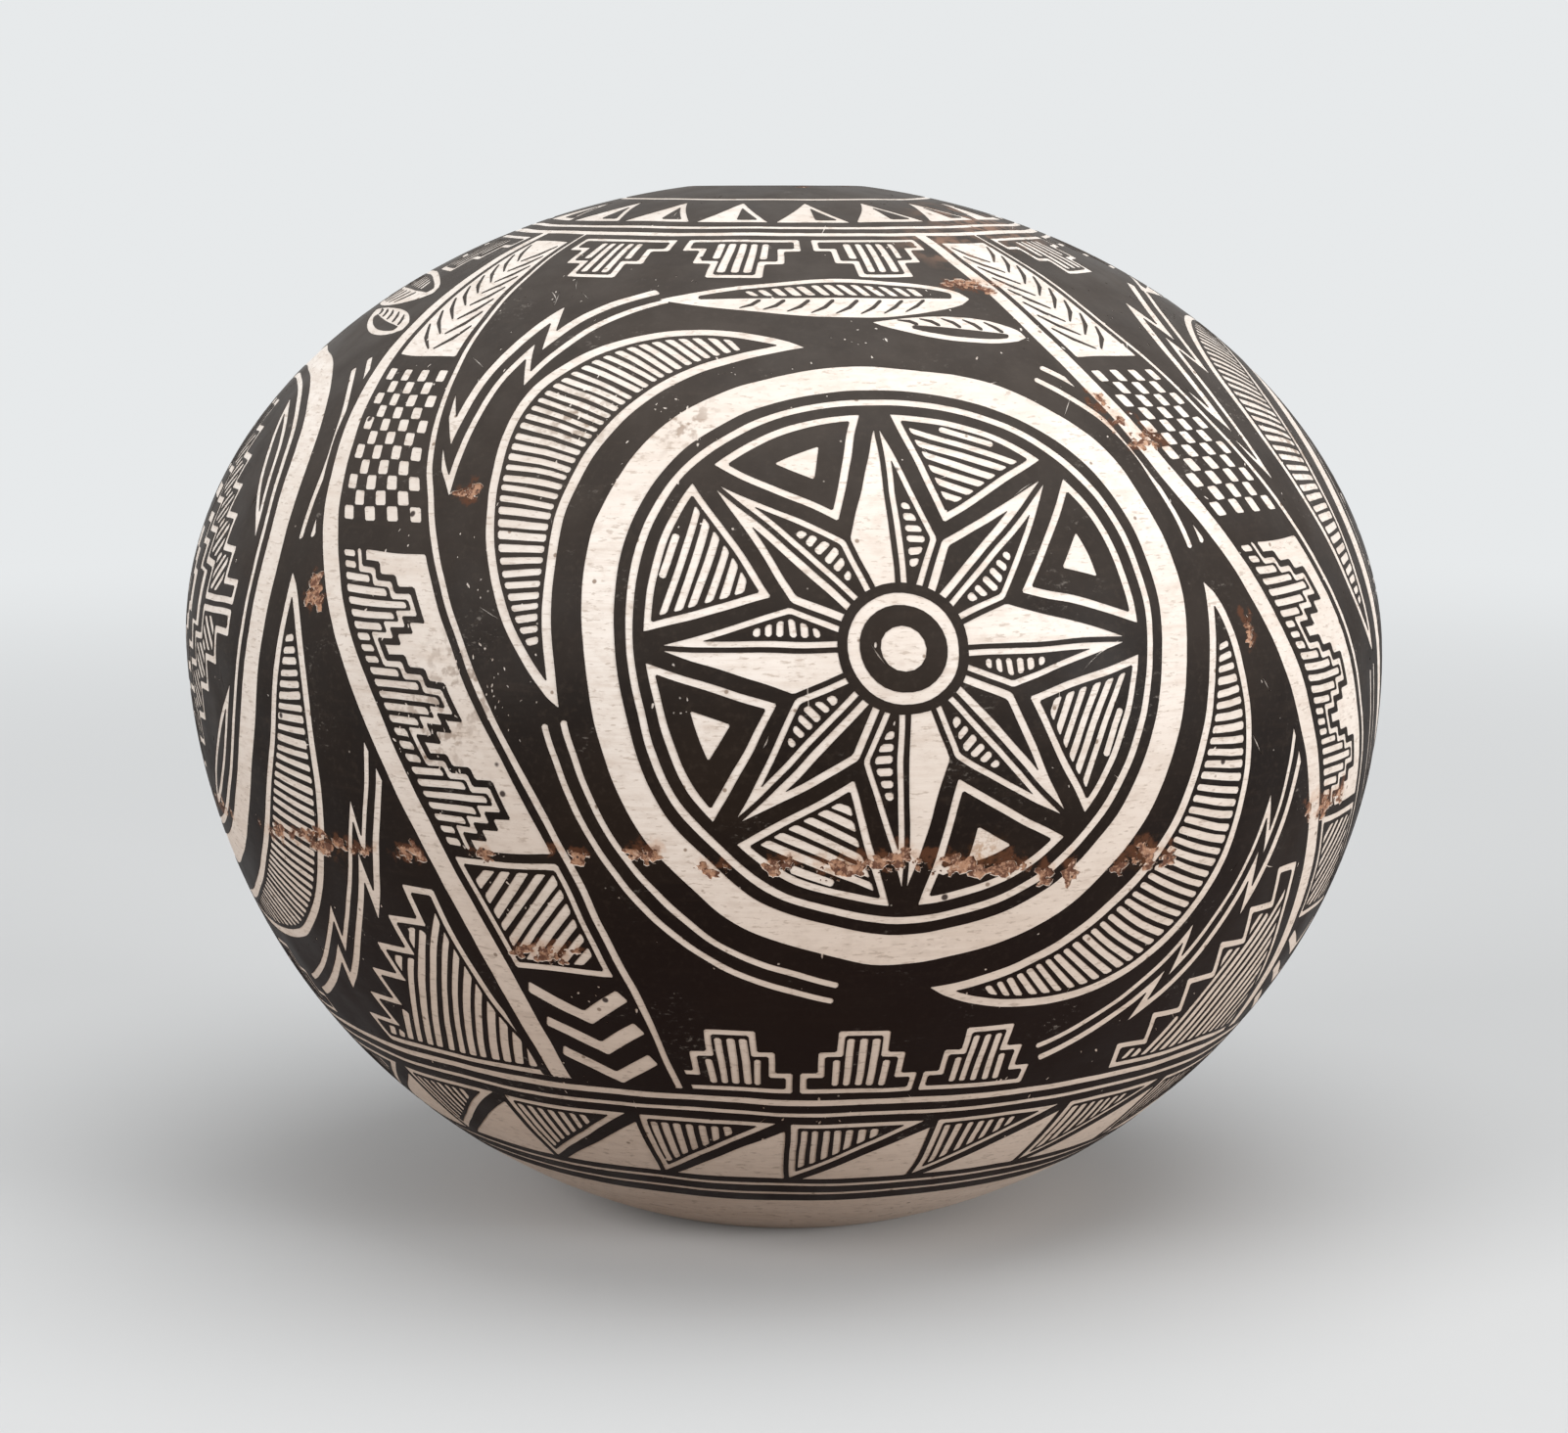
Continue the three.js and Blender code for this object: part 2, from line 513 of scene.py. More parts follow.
# The design: four medallions round the belly, four swinging ribbons between them, and two borders
layout = {
    "repeats": 4,
    "firstAngle": math.radians(10),
    "medallionDistance": 79.0,
    "topBorder": 21.0,
    "lowBorder": 130.0,
    "paintEdge": 153.0,
    "paintStart": -4.0,
    # pale lines round the pot, the lowest first; a border's are measured from it, the others from the lip
    "footLines": [(150.2, 151.0), (147.6, 148.4)],
    "lowLines": [(2.2, 2.9), (0.0, 1.0)],
    "topLines": [(-1.0, 0.0), (-2.9, -2.1)],
    "mouthLines": [(7.4, 8.2)],
}

medallion = {
    "ring": 32.6,
    "ringWidth": 3.4,
    "moat": 1.3,  # dark line outside the pale ring
    "lineFrom": 1.2,  # the fine pale line begins and ends this far inside the ring
    "lineTo": 2.0,
}
fieldRadius = medallion["ring"] - medallion["ringWidth"] - medallion["lineTo"]


def ringedDisc(panel):
    ring = medallion["ring"]
    inside = ring - medallion["ringWidth"]
    for radius, tone in (
        (ring + medallion["moat"], paintTone),
        (ring, slipTone),
        (inside, paintTone),
        (inside - medallion["lineFrom"], slipTone),
        (fieldRadius, paintTone),
    ):
        paint(panel, circlePoints(radius), tone)


star = {
    "rays": 8,
    "tip": 25.8,
    "valley": 12.0,
    "spine": 0.27,  # half of the dark line down a ray
    "outline": 0.8,  # pale edge of the halves that have a dark middle
    "ribLine": 0.6,
    "ribPitch": 1.2,
    "shortRib": 0.4,
    "gap": 1.2,  # dark line round each field between two rays
    "fieldLine": 0.75,
    "fieldTones": [(0, slipTone), (0.8, paintTone), (3.3, slipTone)],  # each begins so far inside the field
    "hub": 5.7,
    "hubTones": [(1.0, paintTone), (0.0, slipTone), (-1.2, paintTone), (-3.3, slipTone)],
}


def starMedallion(panel):
    # Rays split down the middle into a pale half and a ribbed half, with fields between them
    ringedDisc(panel)
    step = fullTurn / star["rays"]
    for i in range(star["rays"]):
        axis = step * i
        tip = polar(star["tip"], axis)
        valley = polar(star["valley"], axis + step / 2)
        pale = [(0.0, 0.0), tip, valley]
        paint(panel, inset(pale, star["spine"]), slipTone)
        if i % 2:
            paint(panel, inset(pale, star["spine"] + star["outline"]), paintTone)
        ribbed = inset([(0.0, 0.0), tip, polar(star["valley"], axis - step / 2)], star["spine"])
        hatchedField(panel, ribbed, axis + quarter, star["ribLine"], inset,
                     pitch=star["ribPitch"], shortest=star["shortRib"])
        field = inset([valley] + arcPoints(fieldRadius, axis, axis + step), star["gap"])
        if i % 2:
            hatchedField(panel, field, axis + step / 2 + quarter, star["fieldLine"], inset)
        else:
            for margin, tone in star["fieldTones"]:
                paint(panel, inset(field, margin), tone)
    for beyond, tone in star["hubTones"]:
        paint(panel, circlePoints(star["hub"] + beyond), tone)


diamond = {
    "outer": (24.4, 7),  # how far the edge of a diamond reaches, and its steps from corner to corner
    "inner": (13.9, 4),
    "edge": 0.3,
    "line": 0.75,
    "core": [(12.6, 4, slipTone), (11.0, 4, paintTone), (7.2, 3, slipTone), (4.6, 3, paintTone)],
    "eye": 1.5,
    "cornerSpan": (math.radians(18), math.radians(72)),
    "cornerFrom": 20.6,  # the fields outside the diamond are cut off straight here
    "cornerGap": 1.2,
    "cornerLine": 0.7,
}


def stairPath(size, steps):
    # The stepped edge of a quarter of a diamond, from its right corner up to its top corner
    tread = size / steps
    path = [(size, 0.0)]
    for i in range(steps):
        path += [(size - tread * i, tread * (i + 1)), (size - tread * (i + 1), tread * (i + 1))]
    return path


def steppedMedallion(panel):
    # Stepped diamonds one inside the other, with hatched fields round them
    ringedDisc(panel)
    low, high = diamond["cornerSpan"]
    for i in range(4):
        turn = quarter * i
        middle = turn + quarter / 2
        field = stairPath(*diamond["outer"]) + stairPath(*diamond["inner"])[::-1]
        field = drawnIn(turnedPoints(field, (0, 0), turn), diamond["edge"])
        hatchedField(panel, field, middle, diamond["line"])
        corner = arcPoints(fieldRadius - diamond["cornerGap"], turn + low, turn + high)
        corner = clipped(corner, polar(diamond["cornerFrom"], middle), polar(1.0, middle))
        hatchedField(panel, corner, middle, diamond["cornerLine"], inset)
    for size, steps, tone in diamond["core"]:
        outline = []
        for i in range(4):
            outline += turnedPoints(stairPath(size, steps)[:-1], (0, 0), quarter * i)
        paint(panel, outline, tone)
    paint(panel, circlePoints(diamond["eye"]), slipTone)


sickle = {"inner": 35.8, "thick": 10.4, "steps": 44, "fullness": 0.8, "lean": math.radians(74), "line": 1.0}


def crescent(panel, start, end):
    # A hatched sickle that lies round a medallion, from one angle to another
    reference = sickle["inner"] + sickle["thick"] / 2
    first, last = math.radians(start), math.radians(end)
    base, edge = [], []
    for i in range(sickle["steps"] + 1):
        share = i / sickle["steps"]
        x = (first + (last - first) * share) * reference
        base.append((x, sickle["inner"]))
        edge.append((x, sickle["inner"] + sickle["thick"] * math.sin(math.pi * share) ** sickle["fullness"]))
    around = arcPlace(panel, reference)
    hatchedField(around, base + edge[-2:0:-1], sickle["lean"], sickle["line"], inset)


bolt = {
    "jogs": 2,
    "slant": 1.8,  # how far it runs back on either side of a jog
    "gap": 1.9,
    "lines": [(-1, 0.9), (1, 1.2)],  # the side of each line, and its width against a fine line
}


def lightning(panel, start, end, radius, rise):
    # A double line round a medallion that jumps outwards like lightning
    first, last = math.radians(start), math.radians(end)
    length = (last - first) * radius
    path = [(first * radius, radius)]
    for i in range(bolt["jogs"]):
        middle = first * radius + length * (i + 1) / (bolt["jogs"] + 1)
        path.append((middle + bolt["slant"], radius + rise * i))
        path.append((middle - bolt["slant"], radius + rise * (i + 1)))
    path.append((last * radius, radius + rise * bolt["jogs"]))
    for side, share in bolt["lines"]:
        stroke(arcPlace(panel, radius), beside(path, side * bolt["gap"] / 2), drawing["fineLine"] * share)


peak = {"steps": 3, "rise": 3.0, "narrows": 0.88, "line": 0.7}


def steppedPeak(place, x, y, width, down):
    # A stepped hatched peak that hangs from a border, or stands on it
    tread = width / 2 / peak["steps"] * peak["narrows"]
    left = []
    for i in range(peak["steps"]):
        edge = x - width / 2 + tread * i
        left += [(edge, y + down * peak["rise"] * i), (edge, y + down * peak["rise"] * (i + 1))]
    hatchedField(place, left + [(2 * x - px, py) for px, py in left[::-1]], quarter, peak["line"])


flight = {
    "corner": (54.0, -50.2),
    "steps": 6,
    "tread": 4.3,
    "rise": 3.9,
    "lean": math.radians(52),
    "line": 0.8,
}


def stairField(panel):
    # A hatched flight of steps that climbs to the right
    right, base = flight["corner"]
    left = right - flight["tread"] * flight["steps"]
    path = [(right, base), (left, base)]
    for i in range(flight["steps"]):
        top = base + flight["rise"] * (i + 1)
        path += [(left + flight["tread"] * i, top), (left + flight["tread"] * (i + 1), top)]
    hatchedField(panel, path, flight["lean"], flight["line"])


twins = {"radii": (35.6, 37.6), "step": 2, "line": 0.7}


def twinArcs(panel, start, end):
    # Two fine lines round a medallion
    for radius in twins["radii"]:
        path = [(math.radians(degrees) * radius, radius) for degrees in range(start, end, twins["step"])]
        stroke(arcPlace(panel, radius), path, twins["line"])


ribbonShape = {
    "width": 18.0,
    "middle": 80.0,
    "reach": 60.0,
    "swing": math.radians(17),
    "sharpness": 1.4,
    "thinning": 0.85,  # how much of the pot's narrowing it follows
    "thinnest": 0.1,
    "tucked": 3.0,  # its upper end lies this far under the top border
    "endGap": 0.9,
    "moat": 1.3,
    "boldEdge": 2.8,
    "fineEdge": 0.9,
    "darkLine": 1.0,  # between the edges and the fields
    # where each of its fields begins and ends
    "barbs": (23.0, 46.0),
    "checks": (48.0, 68.0),
    "interlock": 70.5,
    "panel": (101.5, 114.0),
    "chevrons": 116.3,
    "panelLean": math.radians(-38),
    "panelLine": 0.7,
}


def ribbonPlace(startAngle):
    # Millimetres across a ribbon that swings round the pot as it goes down, and distance from the lip
    def place(x, y):
        t = (y - ribbonShape["middle"]) / ribbonShape["reach"]
        bend = np.tanh(ribbonShape["sharpness"] * t) / math.tanh(ribbonShape["sharpness"])
        thin = np.clip(radiusAt(y) / potShape["bellyRadius"], ribbonShape["thinnest"], 1)
        thin = thin ** ribbonShape["thinning"]
        return startAngle + ribbonShape["swing"] * bend + x * thin / radiusAt(y), y

    return place


def rectangle(left, right, top, bottom):
    return [(left, top), (right, top), (right, bottom), (left, bottom)]


def ribbon(startAngle):
    # A band from the mouth to the lower border, with five different fields along it
    place = ribbonPlace(startAngle)
    half = ribbonShape["width"] / 2
    moat = half + ribbonShape["moat"]
    top = layout["topBorder"] - ribbonShape["tucked"]
    bottom = layout["lowBorder"] - ribbonShape["endGap"]
    left, right = -half + ribbonShape["boldEdge"], half - ribbonShape["fineEdge"]
    paint(place, rectangle(-moat, moat, top, bottom), paintTone)
    paint(place, rectangle(-half, half, top, bottom), slipTone)
    paint(place, rectangle(left, right, top, bottom), paintTone)
    left += ribbonShape["darkLine"]
    right -= ribbonShape["darkLine"]
    barbs(place, left, right, *ribbonShape["barbs"])
    checks(place, left, right, *ribbonShape["checks"])
    interlock(place, left, right, ribbonShape["interlock"])
    panel = rectangle(left, right, *ribbonShape["panel"])
    hatchedField(place, panel, ribbonShape["panelLean"], ribbonShape["panelLine"], inset)
    chevrons(place, left, right, ribbonShape["chevrons"])


barb = {
    "first": 2.0,
    "pitch": 2.4,
    "last": 3.5,  # the last barb starts at least so far above the end of the field
    "root": (0.5, 3.0),  # millimetres from the spine, and down
    "bend": (3.2, 1.2),
    "tip": (0.41, -0.8),  # share of the field's width from the spine, and millimetres down
    "width": 0.62,
    "taper": (0.35, 0.5),
}


def barbs(place, left, right, top, bottom):
    # A pale field with brushed barbs on both sides of a spine
    middle = (left + right) / 2
    paint(place, rectangle(left, right, top, bottom), slipTone)
    y = top + barb["first"]
    while y < bottom - barb["last"]:
        for side in (-1, 1):
            path = [(middle + side * across, y + down) for across, down in (barb["root"], barb["bend"])]
            path.append((middle + side * (right - left) * barb["tip"][0], y + barb["tip"][1]))
            stroke(place, path, barb["width"], paintTone, barb["taper"])
        y += barb["pitch"]


chequer = {"columns": 7, "gap": 0.05}


def checks(place, left, right, top, bottom):
    # A chequered field
    size = (right - left) / chequer["columns"]
    for row in range(round((bottom - top) / size)):
        for column in range(row % 2, chequer["columns"], 2):
            x, y = left + size * column, top + size * row
            paint(place, inset(rectangle(x, x + size, y, y + size), chequer["gap"]), slipTone)


hills = {
    "count": 3,
    "levels": [2.2, 2.2, 4.3, 6.4, 8.5, 6.4, 4.3, 2.2],  # how far the hatched side reaches at each step
    "rise": 1.2,
    "line": 0.6,
    "gap": 0.7,
    "slotVaries": (0.86, 1.0),
}


def interlock(place, left, right, top):
    # A hatched side and a pale side that meet in steps; every step is one hatching line high
    levels = hills["levels"] * hills["count"] + hills["levels"][:1]
    rise = hills["rise"]
    edge = [(left + x, top + rise * (i + down)) for i, x in enumerate(levels) for down in (0, 1)]
    bottom = edge[-1][1]
    paleEdge = beside(edge, -(hills["line"] + hills["gap"]))
    paint(place, [(right, bottom), (right, top)] + paleEdge, slipTone)
    paint(place, beside(edge, -hills["line"]) + edge[::-1], slipTone)
    for x, y in edge[::2]:
        spare = (rise - drawing["slot"] * dice.uniform(*hills["slotVaries"])) / 2
        slot = rectangle(left, x - drawing["margin"], y + spare, y + rise - spare)
        paint(place, slot, slipTone, drawing["slotStep"])


chevron = {"count": 3, "pitch": 4.2, "drop": 3.4, "line": 1.6, "gap": 0.2}


def chevrons(place, left, right, top):
    left += chevron["gap"]
    right -= chevron["gap"]
    for i in range(chevron["count"]):
        y = top + i * chevron["pitch"]
        stroke(place, [(left, y), ((left + right) / 2, y + chevron["drop"]), (right, y)], chevron["line"])


# What stands round each medallion. Angles are degrees anticlockwise round its middle, from the right
upper = {
    "sickle": (99, 190),
    "lightning": (114, 176, 48.4, 2.4),  # from, to, radius, and how far it jumps out at each jog
    # where each leaf starts, the way it grows, its length, width and bend, and the side of its pale half
    "leaves": [((13.8, 43.4), 176, 34, 7.2, 2.2, 1), ((19.5, 36.6), 169, 18, 4.2, 0.4, -1)],
    "arcs": (14, 60),
    "peaks": (-40.5, -16.5, 7.5),  # degrees round the pot
    "peakWidth": 13.2,
    "peakFoot": 22.0,
    "reference": 26.0,  # where the width of a peak is measured
}
lower = {
    "sickle": (-84, 8),
    "lightning": (-69, -8, 48.6, 2.0),
    "arcs": (192, 262),
    "peaks": (-16.2, -2.8, 10.6),  # millimetres round the pot
    "peakWidth": 12.6,
    "peakFoot": 129.0,
    "reference": 125.0,
}


def upperZone(panel):
    # Between a medallion and the mouth: hanging peaks, a sickle, lightning and two leaves
    hang = aroundPlace(upper["reference"], panel(0.0, 0.0)[0])
    for degrees in upper["peaks"]:
        x = math.radians(degrees) * float(radiusAt(upper["reference"]))
        steppedPeak(hang, x, upper["peakFoot"], upper["peakWidth"], 1)
    crescent(panel, *upper["sickle"])
    lightning(panel, *upper["lightning"])
    for origin, turn, *shape in upper["leaves"]:
        blade(panel, origin, math.radians(turn), *shape)
    twinArcs(panel, *upper["arcs"])


def lowerZone(panel):
    # Between a medallion and the foot: a flight of steps, a sickle, lightning and standing peaks
    stairField(panel)
    crescent(panel, *lower["sickle"])
    lightning(panel, *lower["lightning"])
    stand = aroundPlace(lower["reference"], panel(0.0, 0.0)[0])
    for x in lower["peaks"]:
        steppedPeak(stand, x, lower["peakFoot"], lower["peakWidth"], -1)
    twinArcs(panel, *lower["arcs"])


# The triangles of both borders, each with its corners as
# (whole or part pitches from where it starts, millimetres past that, distance from the lip)
teeth = {
    "count": 18,
    "reference": 13.0,
    "pale": [(0, 0, 16.8), (0.92, 0, 16.8), (0.46, 0, 9.4)],
    "dark": [(0.5, 0, 15.9), (0.78, 0, 15.9), (0.5, 0, 11.6)],
}
flags = {
    "count": 20,
    "reference": 140.0,
    "line": 0.75,
    "hatched": [(0, 0, 134.2), (1, -1.4, 134.2), (0, 0, 146.2)],
    "pale": [(1, -0.6, 146.4), (0, 1.4, 146.4), (1, -0.6, 135.6)],
}


def triangles(border, kind):
    # The corners of one kind of triangle, once for each place round the pot
    pitch = fullTurn * float(radiusAt(border["reference"])) / border["count"]
    for i in range(border["count"]):
        yield [(pitch * i + pitch * share + past, distance) for share, past, distance in border[kind]]


def mouthBorder():
    linesRound(layout["topBorder"], layout["topLines"])
    linesRound(0.0, layout["mouthLines"])
    place = aroundPlace(teeth["reference"])
    for pale, dark in zip(triangles(teeth, "pale"), triangles(teeth, "dark")):
        paint(place, pale, slipTone)
        paint(place, dark, paintTone)


def lowBorder():
    place = aroundPlace(flags["reference"])
    for hatched, pale in zip(triangles(flags, "hatched"), triangles(flags, "pale")):
        hatchedField(place, hatched, quarter, flags["line"], inset)
        paint(place, pale, slipTone)


# Wear: chips where the paint, or the paint and the slip, have come off, each place given as
# (degrees round the pot, distance from the lip, length, width, number of chips)
wornPlaces = [
    (-54, 103.0, 6, 1.0, 16), (-48, 102.5, 5, 1.1, 18), (-42, 102.6, 4, 0.9, 12), (-36, 102.4, 2, 0.9, 7),
    (-28, 101.4, 3, 0.7, 5), (-19, 100.2, 4, 0.7, 6), (-12, 99.4, 2.4, 1.3, 9), (-6, 101.0, 2.6, 0.8, 8),
    (0, 100.8, 2.6, 0.8, 8), (4.5, 100.9, 3.2, 1.3, 16), (10, 100.6, 5, 1.2, 20), (15, 101.2, 4.4, 0.8, 13),
    (19.5, 101.4, 4, 0.9, 13), (25, 102.6, 3, 0.9, 8), (33, 102.0, 4.4, 1.9, 20), (-23, 112.0, 3.6, 1.4, 27),
    (40, 57.0, 4.6, 2.2, 20), (36, 52.0, 2.4, 2.6, 10), (-70, -0.6, 1.2, 0.7, 3), (15, -0.2, 1.8, 0.8, 4),
    (118, -0.4, 1.4, 0.8, 4), (214, 0.2, 2.2, 0.9, 5), (31, 33.0, 4, 1.2, 16), (45, 79.5, 0.8, 2.6, 7),
    (-46, 76.0, 0.8, 2.8, 8), (-30, 64.0, 1.6, 1.6, 5),
]
wear = {
    # degrees round the pot, distance from the lip, and how far each place spreads
    "stains": [
        (-21, 54, 7), (-10, 54, 6), (-27, 83, 9), (-31, 88, 8), (70, 60, 9), (150, 75, 10), (-130, 60, 9),
    ],
    "rubs": [(56, 18, 11), (34, 24, 8), (-140, 30, 10), (150, 105, 9), (-100, 45, 7)],
    "rust": [
        (17, 100.6, 3.4), (-45, 103.4, 3.0), (4, 101.0, 2.6), (33, 102.0, 3.2), (120, 101.5, 4.0),
        (-150, 101.0, 4.0),
    ],
    # the cloudy noise that breaks each kind up, and between which strengths of it a patch begins
    "stainsClouds": ((1.2, 4), 0.48, 0.62),
    "rubsClouds": ((1.8, 4), 0.42, 0.62),
    "rustClouds": ((0.9, 5, 0.7), 0.46, 0.62),
    "rustStrength": 0.75,
}
# The belt of wear round the back; two numbers are the least and the most
backBelt = {
    "distance": 101.0,
    "strays": (-1.5, 2),
    "from": 60.0,  # degrees
    "to": 296,
    "apart": (6, 26),
    "length": (2, 8),
    "width": (0.8, 1.6),
    "chips": 3.5,  # for each millimetre of length
}
chips = {
    "smallest": 0.11,
    "spread": 0.9,  # how much bigger the largest chip is, in millimetres
    "density": 2.0,
    "strays": (0.42, 0.45),  # along and across a place, as shares of its length and width
    "stretch": (1.0, 1.7),
    "lie": 0.4,
    "corners": 9,
    "cornersPerSize": 12,
    "ragged": 0.7,
    "bareShare": 0.92,  # chips in the paint that go down to the clay
    "slipShare": 0.5,  # chips across the bare slip that are kept
    "paintGap": 1.04,  # the hole in the paint is so much wider than the one in the slip
    "halo": 0.6,  # how far the wear beside a chip reaches past its size
    "haloGrain": (1.3, 5, 0.65),  # the noise that frays it: size in millimetres, detail, roughness
    "haloWeight": 0.55,
}
ticks = {
    "count": 6,  # for each millimetre that a stained place spreads
    "strays": 0.4,
    "size": (0.07, 0.16),
    "stretch": (1.0, 2.6),
    "lie": (quarter, 0.5),
    "corners": 7,
    "ragged": 0.4,
}
specks = {
    "groups": 760,
    "from": 6,
    "to": 150,
    "inGroup": (1, 1, 1, 2, 3, 4, 6),
    "strays": 1.6,
    "size": (0.06, 0.17),
    "stretch": (1.0, 1.3, 2.4),
    "lie": (quarter, 0.7),
    "corners": 6,
    "ragged": 0.35,
}
scratches = {
    "count": 170,
    "from": 12,
    "to": 148,
    "length": (0.8, 3.6),
    "bend": 0.15,
    "width": (0.08, 0.16),
    "taper": (0.3, 0.3),
}
spotEdge = {"waves": 0.8, "chance": 0.5}  # what each adds to how ragged a spot is
bareChips = []
wornSpots = []


def blot(angle, distance, size, stretch, corners, ragged, lie):
    # A small ragged spot; a few turns of its edge swing in and out together, as broken slip does
    swing = [dice.uniform(0, fullTurn) for _ in range(3)]
    outline = []
    for i in range(corners):
        turn = fullTurn * i / corners
        wave = sum(math.sin(turn * (k + 2) + swing[k]) for k in range(3)) / 3
        uneven = wave * spotEdge["waves"] - spotEdge["chance"] * dice.random()
        reach = size * (1 + ragged * uneven)
        outline.append((reach * stretch * math.cos(turn), reach * math.sin(turn)))
    x, y = np.array(turnedPoints(outline, (0, 0), lie)).T
    return np.column_stack([angle + x / radiusAt(distance), distance + y])


def chancePlace(angle, distance, along, down):
    # A place near another one, given how far it mostly strays round the pot and down it
    place = distance + dice.gauss(0, down)
    return angle + dice.gauss(0, along) / float(radiusAt(place)), place


def tonesAt(angle, distance):
    # The tone that lies on top at each of some points
    found = np.full(len(angle), slipTone)
    for outline, tone in shapes:
        reach, down = outline.T
        if np.ptp(down) == 0:  # a disc
            found[distance < down[0]] = tone
            continue
        nextReach, nextDown = np.roll(reach, -1), np.roll(down, -1)
        near = angle + fullTurn * np.round((reach.mean() - angle) / fullTurn)
        close = (near >= reach.min()) & (near <= reach.max())
        close &= (distance >= down.min()) & (distance <= down.max())
        for i in np.nonzero(close)[0]:
            level = (down > distance[i]) != (nextDown > distance[i])
            slope = (nextReach - reach)[level] / (nextDown - down)[level]
            right = near[i] < reach[level] + slope * (distance[i] - down[level])
            if np.count_nonzero(right) % 2:
                found[i] = tone
    return found


def backPlaces():
    places = []
    degrees = backBelt["from"]
    while degrees < backBelt["to"]:
        length = dice.uniform(*backBelt["length"])
        middle = backBelt["distance"] + dice.uniform(*backBelt["strays"])
        width = dice.uniform(*backBelt["width"])
        places.append((degrees, middle, length, width, round(length * backBelt["chips"])))
        degrees += dice.uniform(*backBelt["apart"])
    return places


def scatterChips():
    # The paint breaks away down to the clay; the bare slip beside it mostly holds
    made = []
    alongShare, acrossShare = chips["strays"]
    for degrees, distance, length, width, count in wornPlaces + backPlaces():
        for _ in range(round(count * chips["density"])):
            along, across = length * alongShare, width * acrossShare
            angle, place = chancePlace(math.radians(degrees), distance, along, across)
            size = chips["smallest"] + chips["spread"] * dice.random() ** 3
            stretch = dice.uniform(*chips["stretch"])
            corners = chips["corners"] + round(size * chips["cornersPerSize"])
            outline = blot(angle, place, size, stretch, corners, chips["ragged"], strayed(chips["lie"]))
            made.append((outline, (angle, place, size)))
    tones = tonesAt(*np.vstack([outline for outline, _ in made]).T)
    start = 0
    for outline, spot in made:
        painted = (tones[start:start + len(outline)] == paintTone).all()
        start += len(outline)
        if not painted and dice.random() > chips["slipShare"]:
            continue
        wornSpots.append(spot)
        if dice.random() < chips["bareShare"]:
            middle = outline.mean(axis=0)
            shapes.append((middle + (outline - middle) * chips["paintGap"], clayTone))
            bareChips.append(outline)
        else:
            shapes.append((outline, slipTone))


def scatterTicks():
    # Short upright ticks in the stained places, where the paint has worn through to the slip
    for degrees, distance, reach in wear["stains"]:
        for _ in range(round(reach * ticks["count"])):
            stray = reach * ticks["strays"]
            angle, place = chancePlace(math.radians(degrees), distance, stray, stray)
            lie = dice.gauss(*ticks["lie"])
            size = dice.uniform(*ticks["size"])
            stretch = dice.uniform(*ticks["stretch"])
            tick = blot(angle, place, size, stretch, ticks["corners"], ticks["ragged"], lie)
            shapes.append((tick, slipTone))


def scatterSpecks():
    for _ in range(specks["groups"]):
        middle = dice.uniform(0, fullTurn)
        distance = dice.uniform(specks["from"], specks["to"])
        for _ in range(dice.choice(specks["inGroup"])):
            angle, place = chancePlace(middle, distance, specks["strays"], specks["strays"])
            size = dice.uniform(*specks["size"])
            lie = dice.gauss(*specks["lie"])
            stretch = dice.choice(specks["stretch"])
            speck = blot(angle, place, size, stretch, specks["corners"], specks["ragged"], lie)
            shapes.append((speck, slipTone))


def scatterScratches():
    for _ in range(scratches["count"]):
        panel = panelPlace(dice.uniform(0, fullTurn), dice.uniform(scratches["from"], scratches["to"]))
        turn = dice.uniform(0, math.pi)
        length = dice.uniform(*scratches["length"])
        path = [polar(-length / 2, turn), (0.0, strayed(scratches["bend"])), polar(length / 2, turn)]
        stroke(panel, path, dice.uniform(*scratches["width"]), slipTone, scratches["taper"])


def drawPattern():
    disc(layout["paintEdge"], paintTone)
    linesRound(0.0, layout["footLines"])
    linesRound(layout["lowBorder"], layout["lowLines"])
    step = fullTurn / layout["repeats"]
    starts = [layout["firstAngle"] + step * i for i in range(layout["repeats"])]
    panels = [panelPlace(start, layout["medallionDistance"]) for start in starts]
    for panel in panels:
        upperZone(panel)
        lowerZone(panel)
    for i in range(layout["repeats"]):
        ribbon(layout["firstAngle"] + step * (i + 0.5))
    for i, panel in enumerate(panels):
        if i % 2 == 0:
            starMedallion(panel)
        else:
            steppedMedallion(panel)
    lowBorder()
    mouthBorder()
    scatterTicks()
    scatterSpecks()
    scatterScratches()
    scatterChips()


drawPattern()
print("pattern drawn:", len(shapes), "shapes")


net = {
    "pitch": 2.3,  # from one support point to the next
    "lipPitch": 0.6,  # closer together where the lip rolls over
    "lipReach": (1.5, 7.0),  # distances between which the one pitch passes into the other
    "clear": 0.42,  # share of the pitch that is kept free on either side of a line
    "fewest": 8,  # points in a row
    "lastRow": 1.5,  # pitches that may be left before the last row
    "merge": 1e-5,  # closer corners become one
    "hem": 0.05,  # triangles that lie wholly within this much of the upper rim are left out
}


